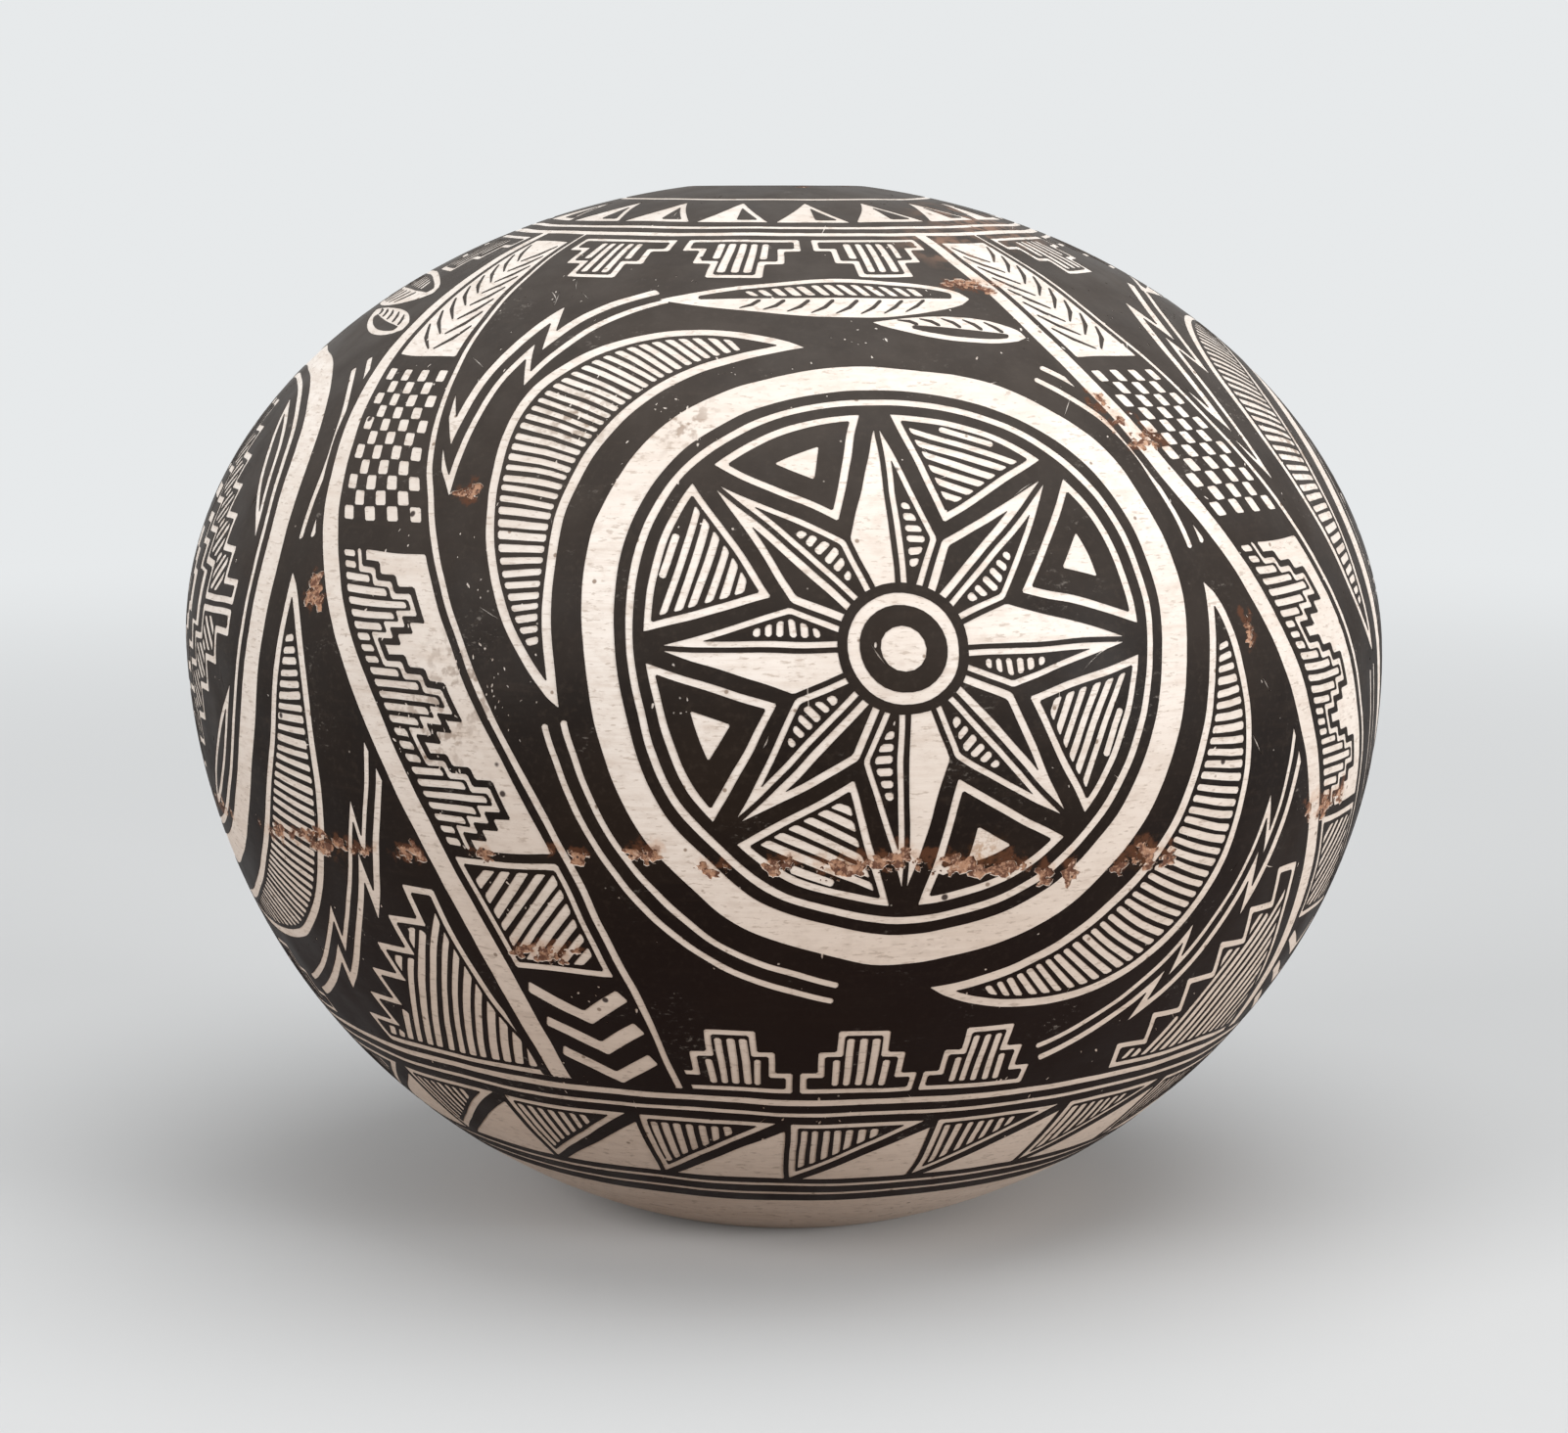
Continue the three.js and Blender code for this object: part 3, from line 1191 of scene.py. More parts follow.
def supportPoints(near, far, taken):
    # Points spread over the wall, so that flat triangles follow its roundness. Those close to a line
    # are left out.
    tree = kdtree.KDTree(len(taken))
    for i, point in enumerate(taken):
        tree.insert(point, i)
    tree.balance()
    found = []
    distance, row = near, 0
    while True:
        pitch = float(np.interp(distance, net["lipReach"], (net["lipPitch"], net["pitch"])))
        count = max(net["fewest"], round(fullTurn * float(radiusAt(distance)) / pitch))
        angles = fullTurn * (np.arange(count) + 0.5 * (row % 2)) / count
        for angle, place in zip(angles, onPot(angles, np.full(count, distance))):
            if distance in (near, far) or tree.find(place)[2] > pitch * net["clear"]:
                found.append((angle, distance))
        if distance == far:
            return np.array(found)
        distance = far if distance + pitch * net["lastRow"] > far else distance + pitch
        row += 1


def network(outlines, near, far):
    # Joins outlines and support points in one flat net, and says which outlines each triangle lies in
    taken = np.vstack(outlines)
    support = supportPoints(near, far, onPot(taken[:, 0], taken[:, 1]))
    corners = [Vector(p) for p in toPlane(*np.vstack([taken, support]).T)]
    faces = []
    start = 0
    for outline in outlines:
        ring = list(range(start, start + len(outline)))
        faces.append(ring if signedArea([tuple(corners[i]) for i in ring]) > 0 else ring[::-1])
        start += len(outline)
    points, _, triangles, _, _, inside = delaunay_2d_cdt(corners, [], faces, 0, net["merge"], True)
    angle, distance = fromPlane(np.array([tuple(p) for p in points]))
    return angle, distance, np.array(triangles), inside


waver = {
    "slow": (0.11, 0.40),  # waves to a millimetre, and how far they carry a line
    "quick": (0.30, 0.085),
    "lipFade": 4,  # it dies away over these distances from the lip and the foot
    "footFade": 8,
    "dip": 2.8,
    "dipAngle": math.radians(28),
    "dipFrom": 70.0,
}


def shaken(angle, distance):
    # The small waver of a hand-held brush, and the slow dip of the lower borders on one side
    low = np.clip((distance - waver["dipFrom"]) / (layout["paintEdge"] - waver["dipFrom"]), 0, 1)
    end = np.clip((footDistance - distance) / (footDistance - layout["paintEdge"]), 0, 1)
    distance = distance + waver["dip"] * np.cos(angle - waver["dipAngle"]) * smooth(low) * end
    points = [Vector(p) for p in onPot(angle, distance)]
    hold = np.clip((distance - layout["paintStart"]) / waver["lipFade"], 0, 1)
    hold = hold * np.clip((footDistance - distance) / waver["footFade"], 0, 1)
    moved = np.zeros((len(points), 3))
    for rate, reach in (waver["slow"], waver["quick"]):
        moved += reach * np.array([noise.noise_vector(p * rate) for p in points])
    return angle + moved[:, 0] * hold / radiusAt(distance), distance + moved[:, 1] * hold


wornTree = kdtree.KDTree(len(wornSpots))
for spotIndex, spotPlace in enumerate(onPot(*np.array(wornSpots)[:, :2].T)):
    wornTree.insert(spotPlace, spotIndex)
wornTree.balance()


def wornShare(points):
    # 1 at a chip, fading to 0 a little way outside its edge
    shares = []
    for p in points:
        _, index, gap = wornTree.find(p)
        shares.append(math.exp(-((gap / (chips["halo"] + wornSpots[index][2])) ** 2)))
    return np.array(shares)


def coat(name, angle, distance, triangles, outer, inner, material):
    # A thin closed layer over part of the wall, with the smooth roundness of the wall in its shading
    used = np.unique(triangles)
    renumber = np.full(len(angle), -1)
    renumber[used] = np.arange(len(used))
    triangles = renumber[triangles]
    angle, distance = angle[used], distance[used]
    count = len(used)
    top = onPot(angle, distance, outer)
    bottom = onPot(angle, distance, inner)
    out = facingOut(angle, distance)
    worn = wornShare(top)
    edges = np.vstack([triangles[:, [0, 1]], triangles[:, [1, 2]], triangles[:, [2, 0]]])
    keys = np.sort(edges, axis=1) @ np.array([count, 1])
    _, first, repeats = np.unique(keys, return_index=True, return_counts=True)
    rim = edges[first[repeats == 1]]
    sides = np.column_stack([rim[:, 1], rim[:, 0], rim[:, 0] + count, rim[:, 1] + count])
    faces = triangles.tolist() + (triangles[:, ::-1] + count).tolist() + sides.tolist()
    mesh = bpy.data.meshes.new(name)
    mesh.from_pydata((np.vstack([top, bottom]) * mm).tolist(), [], faces)
    mesh.shade_smooth()
    ahead = top[rim[:, 1]] - top[rim[:, 0]]
    sideways = np.cross(ahead, out[rim[:, 0]])
    sideways /= np.maximum(np.linalg.norm(sideways, axis=1), tiny)[:, None]
    outward, inward = out[triangles].reshape(-1, 3), -out[triangles[:, ::-1]].reshape(-1, 3)
    mesh.normals_split_custom_set(np.vstack([outward, inward, np.repeat(sideways, 4, axis=0)]).tolist())
    mesh.attributes.new("worn", "FLOAT", "POINT").data.foreach_set("value", np.concatenate([worn, worn]))
    mesh.materials.append(material)
    piece = bpy.data.objects.new(name, mesh)
    bpy.context.scene.collection.objects.link(piece)
    print(name, "has", len(mesh.polygons), "faces")
    return piece


def addNode(tree, kind, settings=None, **inputs):
    # A shader node whose inputs are given by name or by number, each as a value or as another node's output
    made = tree.nodes.new(kind)
    for key, value in (settings or {}).items():
        setattr(made, key, value)
    for key, value in inputs.items():
        numbered = key[0] == "i" and key[1:].isdigit()
        socket = made.inputs[int(key[1:]) if numbered else key.replace("_", " ")]
        if isinstance(value, bpy.types.NodeSocket):
            tree.links.new(value, socket)
        else:
            socket.default_value = value
    return made


def byHeight(tree, coordinates, low, high, toLow=0.0, toHigh=1.0):
    # A share that changes with the height above the table, in millimetres
    height = addNode(tree, "ShaderNodeSeparateXYZ", Vector=coordinates).outputs["Z"]
    return between(tree, height, low * mm, high * mm, toLow, toHigh)


def noiseAt(tree, coordinates, size, detail=3.0, rough=0.5, stretch=None):
    # Cloudy noise whose clouds are about so many millimetres across
    if stretch:
        coordinates = addNode(tree, "ShaderNodeMapping", Vector=coordinates, Scale=stretch).outputs[0]
    made = addNode(tree, "ShaderNodeTexNoise", Vector=coordinates, Scale=1 / (size * mm), Detail=detail,
                   Roughness=rough)
    return made.outputs[0]


def between(tree, value, low, high, toLow=0.0, toHigh=1.0):
    settings = {"interpolation_type": "SMOOTHSTEP"}
    made = addNode(tree, "ShaderNodeMapRange", settings, i0=value, i1=low, i2=high, i3=toLow, i4=toHigh)
    return made.outputs[0]


def maths(tree, operation, first, second=0.0):
    return addNode(tree, "ShaderNodeMath", {"operation": operation}, i0=first, i1=second).outputs[0]


def times(tree, first, second):
    return maths(tree, "MULTIPLY", first, second)


def blended(tree, share, first, second):
    made = addNode(tree, "ShaderNodeMix", {"data_type": "RGBA"}, i0=share, i6=first, i7=second)
    return made.outputs[2]


dotCore = 0.55  # within this share of its size a dot has its full strength


def speckles(tree, coordinates, size, radius, share):
    # Round dots at random places: the space for each, its size there, and the share that is drawn
    cells = addNode(tree, "ShaderNodeTexVoronoi", Vector=coordinates, Scale=1 / (size * mm))
    chosen = addNode(tree, "ShaderNodeSeparateColor", i0=cells.outputs["Color"]).outputs[0]
    dots = between(tree, cells.outputs["Distance"], radius, radius * dotCore)
    return times(tree, dots, maths(tree, "LESS_THAN", chosen, share))


def nearSpots(tree, coordinates, spots):
    # How close a point is to any of some places on the wall, from 0 to 1
    total = None
    for degrees, distance, reach in spots:
        centre = onPot(np.array([math.radians(degrees)]), np.array([distance]))[0] * mm
        settings = {"operation": "DISTANCE"}
        gap = addNode(tree, "ShaderNodeVectorMath", settings, i0=coordinates, i1=tuple(centre))
        close = between(tree, gap.outputs["Value"], reach * mm, 0.0)
        total = close if total is None else maths(tree, "MAXIMUM", total, close)
    return total


def cloudy(tree, coordinates, cloud, low, high, toLow=0.0, toHigh=1.0):
    # A share that grows with a cloudy noise, given as (size in millimetres, detail, roughness, stretch)
    return between(tree, noiseAt(tree, coordinates, *cloud), low, high, toLow, toHigh)


def patches(tree, coordinates, kind):
    # Ragged patches of one kind of wear, near its places
    near = nearSpots(tree, coordinates, wear[kind])
    return times(tree, near, cloudy(tree, coordinates, *wear[kind + "Clouds"]))


def wornMask(tree, coordinates, low, high):
    # Where wear has gone through round the chips: full beside them, ragged further out
    worn = addNode(tree, "ShaderNodeAttribute", {"attribute_name": "worn"}).outputs["Fac"]
    grain = noiseAt(tree, coordinates, *chips["haloGrain"])
    return between(tree, maths(tree, "ADD", times(tree, worn, chips["haloWeight"]), grain), low, high)


def rustShare(tree, coordinates):
    # Patchy yellow-brown stains along the belt of wear
    return times(tree, patches(tree, coordinates, "rust"), wear["rustStrength"])


def washed(tree, coordinates, colour, washes):
    # Tints laid over a colour one after another, each where its own cloudy noise is strong
    for cloud, low, high, strength, tint in washes:
        colour = blended(tree, cloudy(tree, coordinates, cloud, low, high, 0, strength), colour, tint)
    return colour


def laid(tree, mask, strength, colour, tint):
    # A tint laid over a colour within a mask
    return blended(tree, times(tree, mask, strength), colour, tint)


def startMaterial(name):
    material = bpy.data.materials.new(name)
    material.use_nodes = True
    tree = material.node_tree
    tree.nodes.clear()
    coordinates = addNode(tree, "ShaderNodeTexCoord").outputs["Object"]
    return material, tree, coordinates


def endMaterial(tree, colour, roughness, height, depth, **shine):
    bump = addNode(tree, "ShaderNodeBump", Strength=1.0, Distance=depth * mm, Height=height).outputs[0]
    shader = addNode(tree, "ShaderNodeBsdfPrincipled", Base_Color=colour, Roughness=roughness, Normal=bump,
                     **shine)
    addNode(tree, "ShaderNodeOutputMaterial", Surface=shader.outputs[0])


# The three finishes. A cloud is (size in millimetres, detail, roughness, stretch), and a wash is
# (cloud, strength of the cloud where it begins and where it is full, how much it covers, tint).
# Roughness ends with two strengths of a cloud and the roughness at each of them, and dots are
# (space for each in millimetres, size there, share that is drawn).
slip = {
    "ground": (0.83, 0.77, 0.71, 1),
    "cool": ((24, 4), 0.35, 0.68, 1, (0.73, 0.66, 0.595, 1)),
    "paintedWarmShadeHeights": (25, 72, 0.42, 0.0),  # the heights between which the painted warm shade low on the flank fades out
    "paintedWarmShadeTint": (0.74, 0.58, 0.46, 1),
    "strokes": (3.4, 5, 0.65, (0.3, 0.3, 3.0)),
    "ticks": (0.62, 3, 0.6, (0.45, 0.45, 1.9)),
    "freckles": [((2.2, 0.14, 0.24), (0.30, 0.23, 0.18, 1)), ((5.0, 0.09, 0.2), (0.05, 0.035, 0.03, 1))],
    "stain": (0.7, (0.20, 0.12, 0.07, 1)),  # how much it covers, and its tint
    "chipEdges": [((0.76, 1.04), 0.5, (0.58, 0.38, 0.26, 1)), ((1.02, 1.12), 0.6, (0.22, 0.10, 0.055, 1))],
    "rust": (0.34, 0.17, 0.06, 1),
    "roughness": (0.3, 0.7, 0.48, 0.60),
    "tickBump": 0.5,
    "bump": 0.03,
    "shine": 0.22,
}
slip["washes"] = [
    (slip["strokes"], 0.48, 0.72, 0.42, (0.60, 0.50, 0.42, 1)),
    ((0.5, 4, 0.6, (0.1, 0.1, 1.5)), 0.42, 0.72, 0.32, (0.62, 0.52, 0.44, 1)),
    ((1.1, 4, 0.65, (0.6, 0.6, 1.3)), 0.46, 0.70, 0.42, (0.58, 0.49, 0.42, 1)),
    (slip["ticks"], 0.57, 0.67, 0.62, (0.44, 0.355, 0.29, 1)),
]


def paleSlip():
    # Cream slip polished with a stone: mottled, freckled, with faint strokes of the stone, and a painted
    # warm shade low on the flank
    material, tree, at = startMaterial("pale_slip")
    colour = washed(tree, at, slip["ground"], [slip["cool"]])
    # painted warm shade: the slip is darker and warmer towards the foot
    colour = blended(tree, byHeight(tree, at, *slip["paintedWarmShadeHeights"]), colour, slip["paintedWarmShadeTint"])
    colour = washed(tree, at, colour, slip["washes"])
    for dots, tint in slip["freckles"]:
        colour = blended(tree, speckles(tree, at, *dots), colour, tint)
    strength, tint = slip["stain"]
    colour = laid(tree, patches(tree, at, "stains"), strength, colour, tint)
    for limits, strength, tint in slip["chipEdges"]:
        colour = laid(tree, wornMask(tree, at, *limits), strength, colour, tint)
    colour = blended(tree, rustShare(tree, at), colour, slip["rust"])
    strokes = noiseAt(tree, at, *slip["strokes"])
    fine = times(tree, noiseAt(tree, at, *slip["ticks"]), slip["tickBump"])
    height = maths(tree, "ADD", strokes, fine)
    roughness = between(tree, strokes, *slip["roughness"])
    endMaterial(tree, colour, roughness, height, slip["bump"], Specular_IOR_Level=slip["shine"])
    return material


darkCoat = {
    "ground": (0.0055, 0.0023, 0.0011, 1),
    "strokes": (3.0, 5, 0.65, (0.3, 0.3, 2.8)),
    "depth": (28, 62, 0.85, 0.0),  # the heights between which the painted shade, darker and browner low on the flank, fades out
    "paintedShadeTint": (0.0075, 0.0018, 0.0004, 1),
    "dustAndSheen": (52, 114),  # the heights between which dust and a painted sheen begin on the shoulder
    "dustAndSheenClouds": ((5, 4, 0.6), 0.3, 0.7, 0.36, 0.50),
    "dustAndSheenTint": (0.115, 0.098, 0.085, 1),
    # how much each kind of wear covers, and its tint
    "rub": (0.75, (0.30, 0.175, 0.12, 1)),
    "chipEdge": (0.8, (0.105, 0.042, 0.021, 1)),
    "rust": (0.6, (0.12, 0.05, 0.018, 1)),
    "scuff": (0.45, (0.40, 0.36, 0.32, 1)),
    "speck": (0.6, (0.45, 0.40, 0.35, 1)),
    "chipEdgeFrom": (0.80, 1.02),
    "scuffPlaces": ((9, 3), 0.56, 0.7),
    "scuffClouds": ((0.55, 4, 0.7, (0.6, 0.6, 1.3)), 0.56, 0.72),
    "speckDots": (1.7, 0.09, 0.05),
    "roughness": ((6, 4), 0.3, 0.7, 0.48, 0.60),
    "grain": (0.8, 2),
    "grainBump": 0.35,
    "bump": 0.03,
    "shine": 0.10,
}
darkCoat["washes"] = [
    ((16, 4), 0.35, 0.7, 1, (0.0130, 0.0072, 0.0042, 1)),
    (darkCoat["strokes"], 0.50, 0.78, 0.6, (0.024, 0.0148, 0.0100, 1)),
    ((0.7, 3, 0.6), 0.50, 0.72, 0.5, (0.028, 0.0190, 0.0135, 1)),
]


def darkPaint():
    # Near-black paint, thin enough in places for the brown of the ground to come through; painted shade
    # darkens it low on the flank, and dust with a painted sheen lightens the shoulder
    material, tree, at = startMaterial("dark_paint")
    colour = washed(tree, at, darkCoat["ground"], darkCoat["washes"])
    # painted shade: the paint is darker and browner towards the foot
    colour = blended(tree, byHeight(tree, at, *darkCoat["depth"]), colour, darkCoat["paintedShadeTint"])
    # dust and a painted sheen: the paint is lighter towards the top
    dustAndSheen = byHeight(tree, at, *darkCoat["dustAndSheen"])
    dustAndSheen = times(tree, dustAndSheen, cloudy(tree, at, *darkCoat["dustAndSheenClouds"]))
    colour = blended(tree, dustAndSheen, colour, darkCoat["dustAndSheenTint"])
    scuffed = cloudy(tree, at, *darkCoat["scuffPlaces"])
    masks = {
        "rub": patches(tree, at, "rubs"),
        "chipEdge": wornMask(tree, at, *darkCoat["chipEdgeFrom"]),
        "rust": rustShare(tree, at),
        "scuff": times(tree, scuffed, cloudy(tree, at, *darkCoat["scuffClouds"])),
        "speck": speckles(tree, at, *darkCoat["speckDots"]),
    }
    for name, mask in masks.items():
        strength, tint = darkCoat[name]
        colour = laid(tree, mask, strength, colour, tint)
    fine = times(tree, noiseAt(tree, at, *darkCoat["grain"]), darkCoat["grainBump"])
    height = maths(tree, "ADD", noiseAt(tree, at, *darkCoat["strokes"]), fine)
    roughness = cloudy(tree, at, *darkCoat["roughness"])
    endMaterial(tree, colour, roughness, height, darkCoat["bump"], Specular_IOR_Level=darkCoat["shine"])
    return material


clay = {
    "tan": (0.45, 0.25, 0.155, 1),
    "washes": [
        ((0.9, 5, 0.7), 0.44, 0.55, 1, (0.13, 0.052, 0.028, 1)),
        ((0.7, 3, 0.6), 0.54, 0.66, 1, (0.60, 0.40, 0.29, 1)),
    ],
    "grit": ((0.7, 0.3, 0.3), (0.06, 0.028, 0.018, 1)),
    "scraped": (0.56, 0.42, 0.32, 1),
    "scrapes": [((6, 5, 0.6), 0.35, 0.65, 1, (0.44, 0.31, 0.23, 1))],
    "foot": (1.2, 3.0, 0.86, 0.0),  # the heights between which the scraped clay of the foot fades out
    "grain": (0.5, 4, 0.7),
    "roughness": (0.3, 0.7, 0.75, 0.95),
    "bump": 0.2,
}


def firedClay():
    # Bare clay where nothing covers it: tan to rust and gritty, but pale and scraped smooth under the foot
    material, tree, at = startMaterial("fired_clay")
    colour = washed(tree, at, clay["tan"], clay["washes"])
    dots, tint = clay["grit"]
    colour = blended(tree, speckles(tree, at, *dots), colour, tint)
    scraped = washed(tree, at, clay["scraped"], clay["scrapes"])
    colour = blended(tree, byHeight(tree, at, *clay["foot"]), colour, scraped)
    height = noiseAt(tree, at, *clay["grain"])
    endMaterial(tree, colour, between(tree, height, *clay["roughness"]), height, clay["bump"])
    return material


slipMaterial, paintMaterial, clayMaterial = paleSlip(), darkPaint(), firedClay()

wall = {
    "coatDepth": 0.13,  # how far the fired wall lies under the face of the slip
    "belly": 5.0,
    "foot": 7.0,
    "floor": 7.0,
    "ridge": 0.3,  # height of the ridges that the ropes of clay leave inside
    "ridgeFrom": 12,  # they rise over this distance from the lip
    "ropes": 13,
    "turns": 180,
    "outsidePoints": 170,
    "insidePoints": 150,
    "insideFrom": 0.8,
    "insideEnd": 6,  # the round of the floor takes up the last of the way down
    "hollow": [(0.0, 0.8), (13.0, 0.7), (16.5, 0.0)],  # radius and height of the scrape under the foot
    "footEdge": 0.6,
    "rim": 0.05,  # keeps the last point of the lip just inside the traced outline
    "merge": 0.02 * mm,
}


def wallAt(distance):
    # Thickness of the wall: thinnest at the belly
    bellyAt = outlineDistance[np.argmax(outlineLine[:, 0])]
    down = np.clip((distance - bellyAt) / (footDistance - bellyAt), 0, 1)
    up = np.clip(1 - distance / bellyAt, 0, 1)
    thicker = (wall["foot"] - wall["belly"]) * smooth(down)
    return wall["belly"] + thicker + (potShape["lipThickness"] - wall["belly"]) * smooth(up)


def firedWall():
    # The clay itself, spun from one closed outline: outside, round the lip, down the ridged inside, floor
    outside = np.linspace(footDistance, lipInnerDistance + wall["rim"], wall["outsidePoints"])
    profile = wall["hollow"] + [(potShape["footRadius"] - wall["footEdge"], 0.0)]
    profile += list(zip(*offWall(outside, -wall["coatDepth"])))
    for distance in np.linspace(wall["insideFrom"], footDistance - wall["insideEnd"], wall["insidePoints"]):
        swell = wall["ridge"] * abs(math.sin(math.pi * wall["ropes"] * distance / footDistance))
        thick = float(wallAt(distance)) + swell * min(1, distance / wall["ridgeFrom"])
        profile.append(offWall(distance, -thick))
    profile.append((0.0, wall["floor"]))
    mesh = bpy.data.meshes.new("fired_wall")
    points = [(r * mm, 0.0, z * mm) for r, z in profile]
    mesh.from_pydata(points, [(i, i + 1) for i in range(len(points) - 1)], [])
    piece = bpy.data.objects.new("fired_wall", mesh)
    bpy.context.scene.collection.objects.link(piece)
    bpy.ops.object.select_all(action="DESELECT")
    bpy.context.view_layer.objects.active = piece
    piece.select_set(True)
    bpy.ops.object.mode_set(mode="EDIT")
    bpy.ops.mesh.select_all(action="SELECT")
    bpy.ops.mesh.spin(steps=wall["turns"], angle=fullTurn, center=(0, 0, 0), axis=(0, 0, 1))
    bpy.ops.mesh.select_all(action="SELECT")
    bpy.ops.mesh.remove_doubles(threshold=wall["merge"])
    bpy.ops.mesh.normals_make_consistent(inside=False)
    bpy.ops.object.mode_set(mode="OBJECT")
    places = np.zeros(len(mesh.vertices) * 3)
    mesh.vertices.foreach_get("co", places)
    mesh.vertices.foreach_set("co", (handShaped(places.reshape(-1, 3) / mm) * mm).ravel())
    mesh.shade_smooth()
    mesh.materials.append(clayMaterial)
    print("fired_wall has", len(mesh.polygons), "faces")
    return piece


firedPiece = firedWall()

coats = {
    "slipOuter": 0.0,
    "slipInner": -0.18,
    "paintOuter": 0.05,
    "paintInner": -0.05,
    "slipEnds": (-6.5, footDistance),
    "pastPaint": 4,  # the net of the paint goes on so far past the paint's edge
    "paintPieces": [
        ("painted_mouth", -10, 21),
        ("painted_shoulder", 21, 79),
        ("painted_belly", 79, 130),
        ("painted_border", 130, 200),
    ],
}


def slipCoat():
    start, end = coats["slipEnds"]
    angle, distance, corners, inside = network(bareChips, start, end)
    kept = np.array([not found for found in inside])
    kept &= distance[corners].max(axis=1) > start + net["hem"]
    angle, distance = shaken(angle, distance)
    outer, inner = coats["slipOuter"], coats["slipInner"]
    return coat("slip_coat", angle, distance, corners[kept], outer, inner, slipMaterial)


def paintedCoats():
    # The tone of a triangle is that of the last shape that it lies in
    for _, start, _ in coats["paintPieces"][1:]:
        disc(start, sameTone)
    outlines = [outline for outline, _ in shapes]
    tones = np.array([tone for _, tone in shapes])
    near, far = layout["paintStart"], layout["paintEdge"] + coats["pastPaint"]
    angle, distance, corners, inside = network(outlines, near, far)
    telling = [[i for i in found if tones[i] != sameTone] for found in inside]
    tone = np.array([tones[max(found)] if found else slipTone for found in telling])
    tone[distance[corners].max(axis=1) < near + net["hem"]] = slipTone
    middle = distance[corners].mean(axis=1)
    angle, distance = shaken(angle, distance)
    outer, inner = coats["paintOuter"], coats["paintInner"]
    pieces = []
    for name, start, end in coats["paintPieces"]:
        chosen = corners[(tone == paintTone) & (middle >= start) & (middle < end)]
        pieces.append(coat(name, angle, distance, chosen, outer, inner, paintMaterial))
    return pieces


slipPiece = slipCoat()
paintPieces = paintedCoats()

# Every piece rides on the pot's one body, and the clay pieces of the frame are hidden
clayNodes = sorted(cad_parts)
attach(firedPiece, "root")
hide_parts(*clayNodes)
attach(slipPiece, "root")
for piece in paintPieces:
    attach(piece, "root")

studio = {
    "floorSize": 8.0,
    "fadeFrom": 0.14,  # the floor passes into the plain background from here
    "fadeTo": 0.75,
    "seenFloor": (0.62, 0.63, 0.635, 1),
    "floorBounce": (0.20, 0.135, 0.092, 1),  # what the floor throws back on the pot
    "background": (0.80, 0.82, 0.83, 1),
    "worldColour": (1, 1, 1, 1),
    "worldLight": 0.44,
    "lamps": [
        ("overhead", (0.15, -0.12, 0.95), (0, 0, 0.06), 0.9, 5.6),
        ("key", (1.15, -0.74, 0.26), (0, 0, 0.05), 0.5, 14.6),
        ("fill", (-1.0, -0.70, 0.46), (0, 0, 0.05), 0.8, 9.6),
    ],
}


def seenBy(tree):
    # 1 where the camera looks, straight or in a reflection or through glass, and 0 where light bounces
    ray = addNode(tree, "ShaderNodeLightPath").outputs
    direct = maths(tree, "MAXIMUM", ray["Is Camera Ray"], ray["Is Transmission Ray"])
    return maths(tree, "MAXIMUM", direct, ray["Is Glossy Ray"])


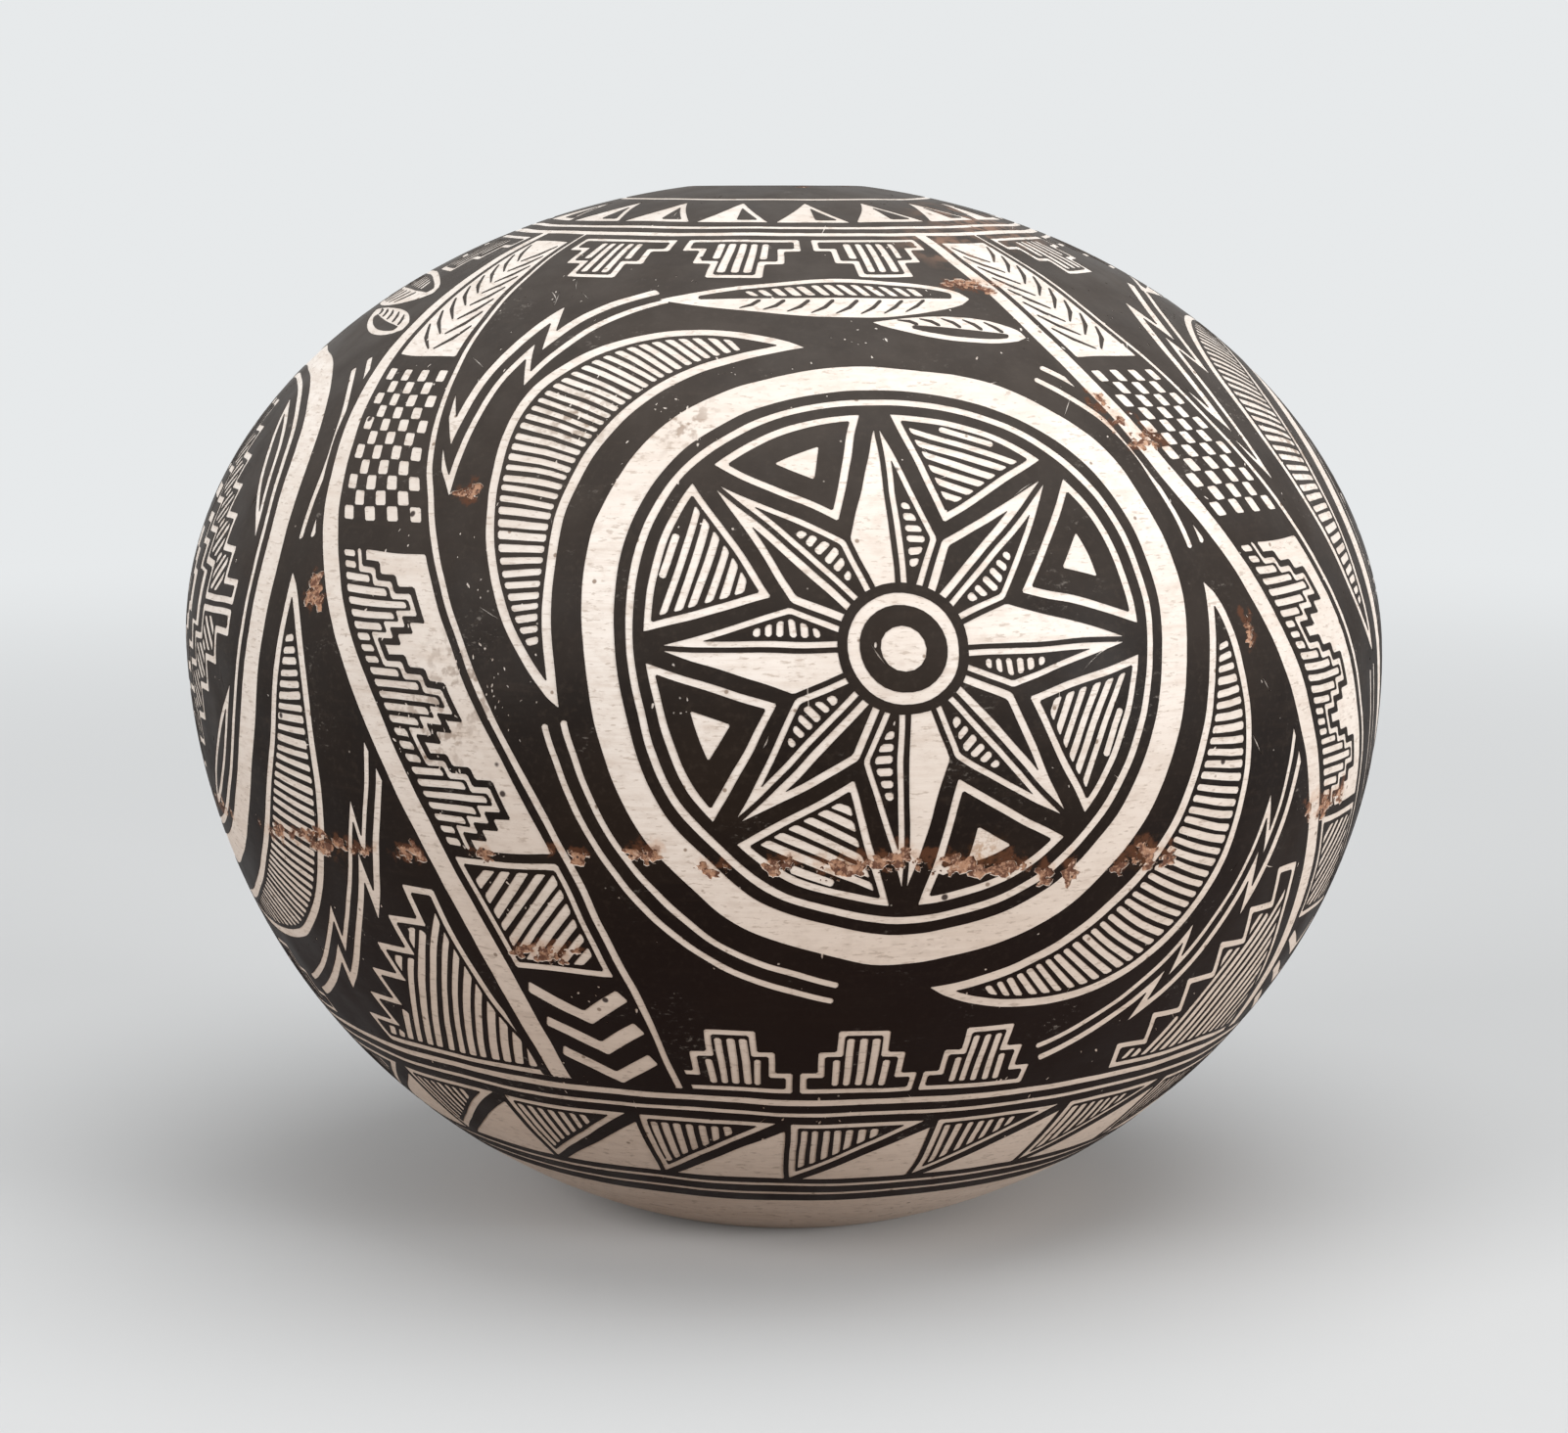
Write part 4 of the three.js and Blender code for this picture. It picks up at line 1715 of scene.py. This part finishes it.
def studioFloor():
    bpy.ops.object.select_all(action="DESELECT")
    bpy.ops.mesh.primitive_plane_add(size=studio["floorSize"], location=(0, 0, 0))
    floor = bpy.context.object
    floor.name = "studio_floor"
    material, tree, at = startMaterial("studio_floor")
    shown = seenBy(tree)
    away = addNode(tree, "ShaderNodeVectorMath", {"operation": "LENGTH"}, i0=at).outputs["Value"]
    fade = between(tree, away, studio["fadeFrom"], studio["fadeTo"])
    near = addNode(tree, "ShaderNodeBsdfDiffuse", Color=studio["seenFloor"]).outputs[0]
    far = addNode(tree, "ShaderNodeEmission", Color=studio["background"], Strength=1.0).outputs[0]
    seen = addNode(tree, "ShaderNodeMixShader", i0=fade, i1=near, i2=far).outputs[0]
    bounce = addNode(tree, "ShaderNodeBsdfDiffuse", Color=studio["floorBounce"]).outputs[0]
    both = addNode(tree, "ShaderNodeMixShader", i0=shown, i1=bounce, i2=seen).outputs[0]
    addNode(tree, "ShaderNodeOutputMaterial", Surface=both)
    floor.data.materials.append(material)


def studioLight():
    world = bpy.data.worlds.new("studio")
    world.use_nodes = True
    bpy.context.scene.world = world
    tree = world.node_tree
    tree.nodes.clear()
    shown = seenBy(tree)
    colour, strength = studio["worldColour"], studio["worldLight"]
    plain = addNode(tree, "ShaderNodeBackground", Color=colour, Strength=strength).outputs[0]
    seen = addNode(tree, "ShaderNodeBackground", Color=studio["background"], Strength=1.0).outputs[0]
    both = addNode(tree, "ShaderNodeMixShader", i0=shown, i1=plain, i2=seen).outputs[0]
    addNode(tree, "ShaderNodeOutputWorld", Surface=both)
    for name, place, target, size, power in studio["lamps"]:
        lamp = bpy.data.lights.new(name, "AREA")
        lamp.size = size
        lamp.energy = power
        holder = bpy.data.objects.new(name, lamp)
        bpy.context.scene.collection.objects.link(holder)
        holder.location = place
        holder.rotation_euler = (Vector(target) - Vector(place)).to_track_quat("-Z", "Y").to_euler()


cameraView = {
    "distance": 0.45,
    "elevation": 7.0,  # above the level of the belly
    "aimBelow": 1.265,  # the photograph is centred a little below the belly's middle
    "lens": 87.9,
    "sensor": 36,
    "aside": -0.6,
}


def photoCamera():
    rise = math.radians(cameraView["elevation"])
    camera = bpy.data.objects.new("camera", bpy.data.cameras.new("camera"))
    bpy.context.scene.collection.objects.link(camera)
    camera.data.lens = cameraView["lens"]
    camera.data.sensor_width = cameraView["sensor"]
    belly = potShape["bellyHeight"] * mm
    reach = cameraView["distance"]
    camera.location = (cameraView["aside"] * mm, -reach * math.cos(rise), belly + reach * math.sin(rise))
    camera.rotation_euler = (quarter - rise - math.radians(cameraView["aimBelow"]), 0, 0)
    bpy.context.scene.camera = camera


studioFloor()
studioLight()
photoCamera()
bpy.context.scene.view_settings.view_transform = "Standard"
print("studio ready")
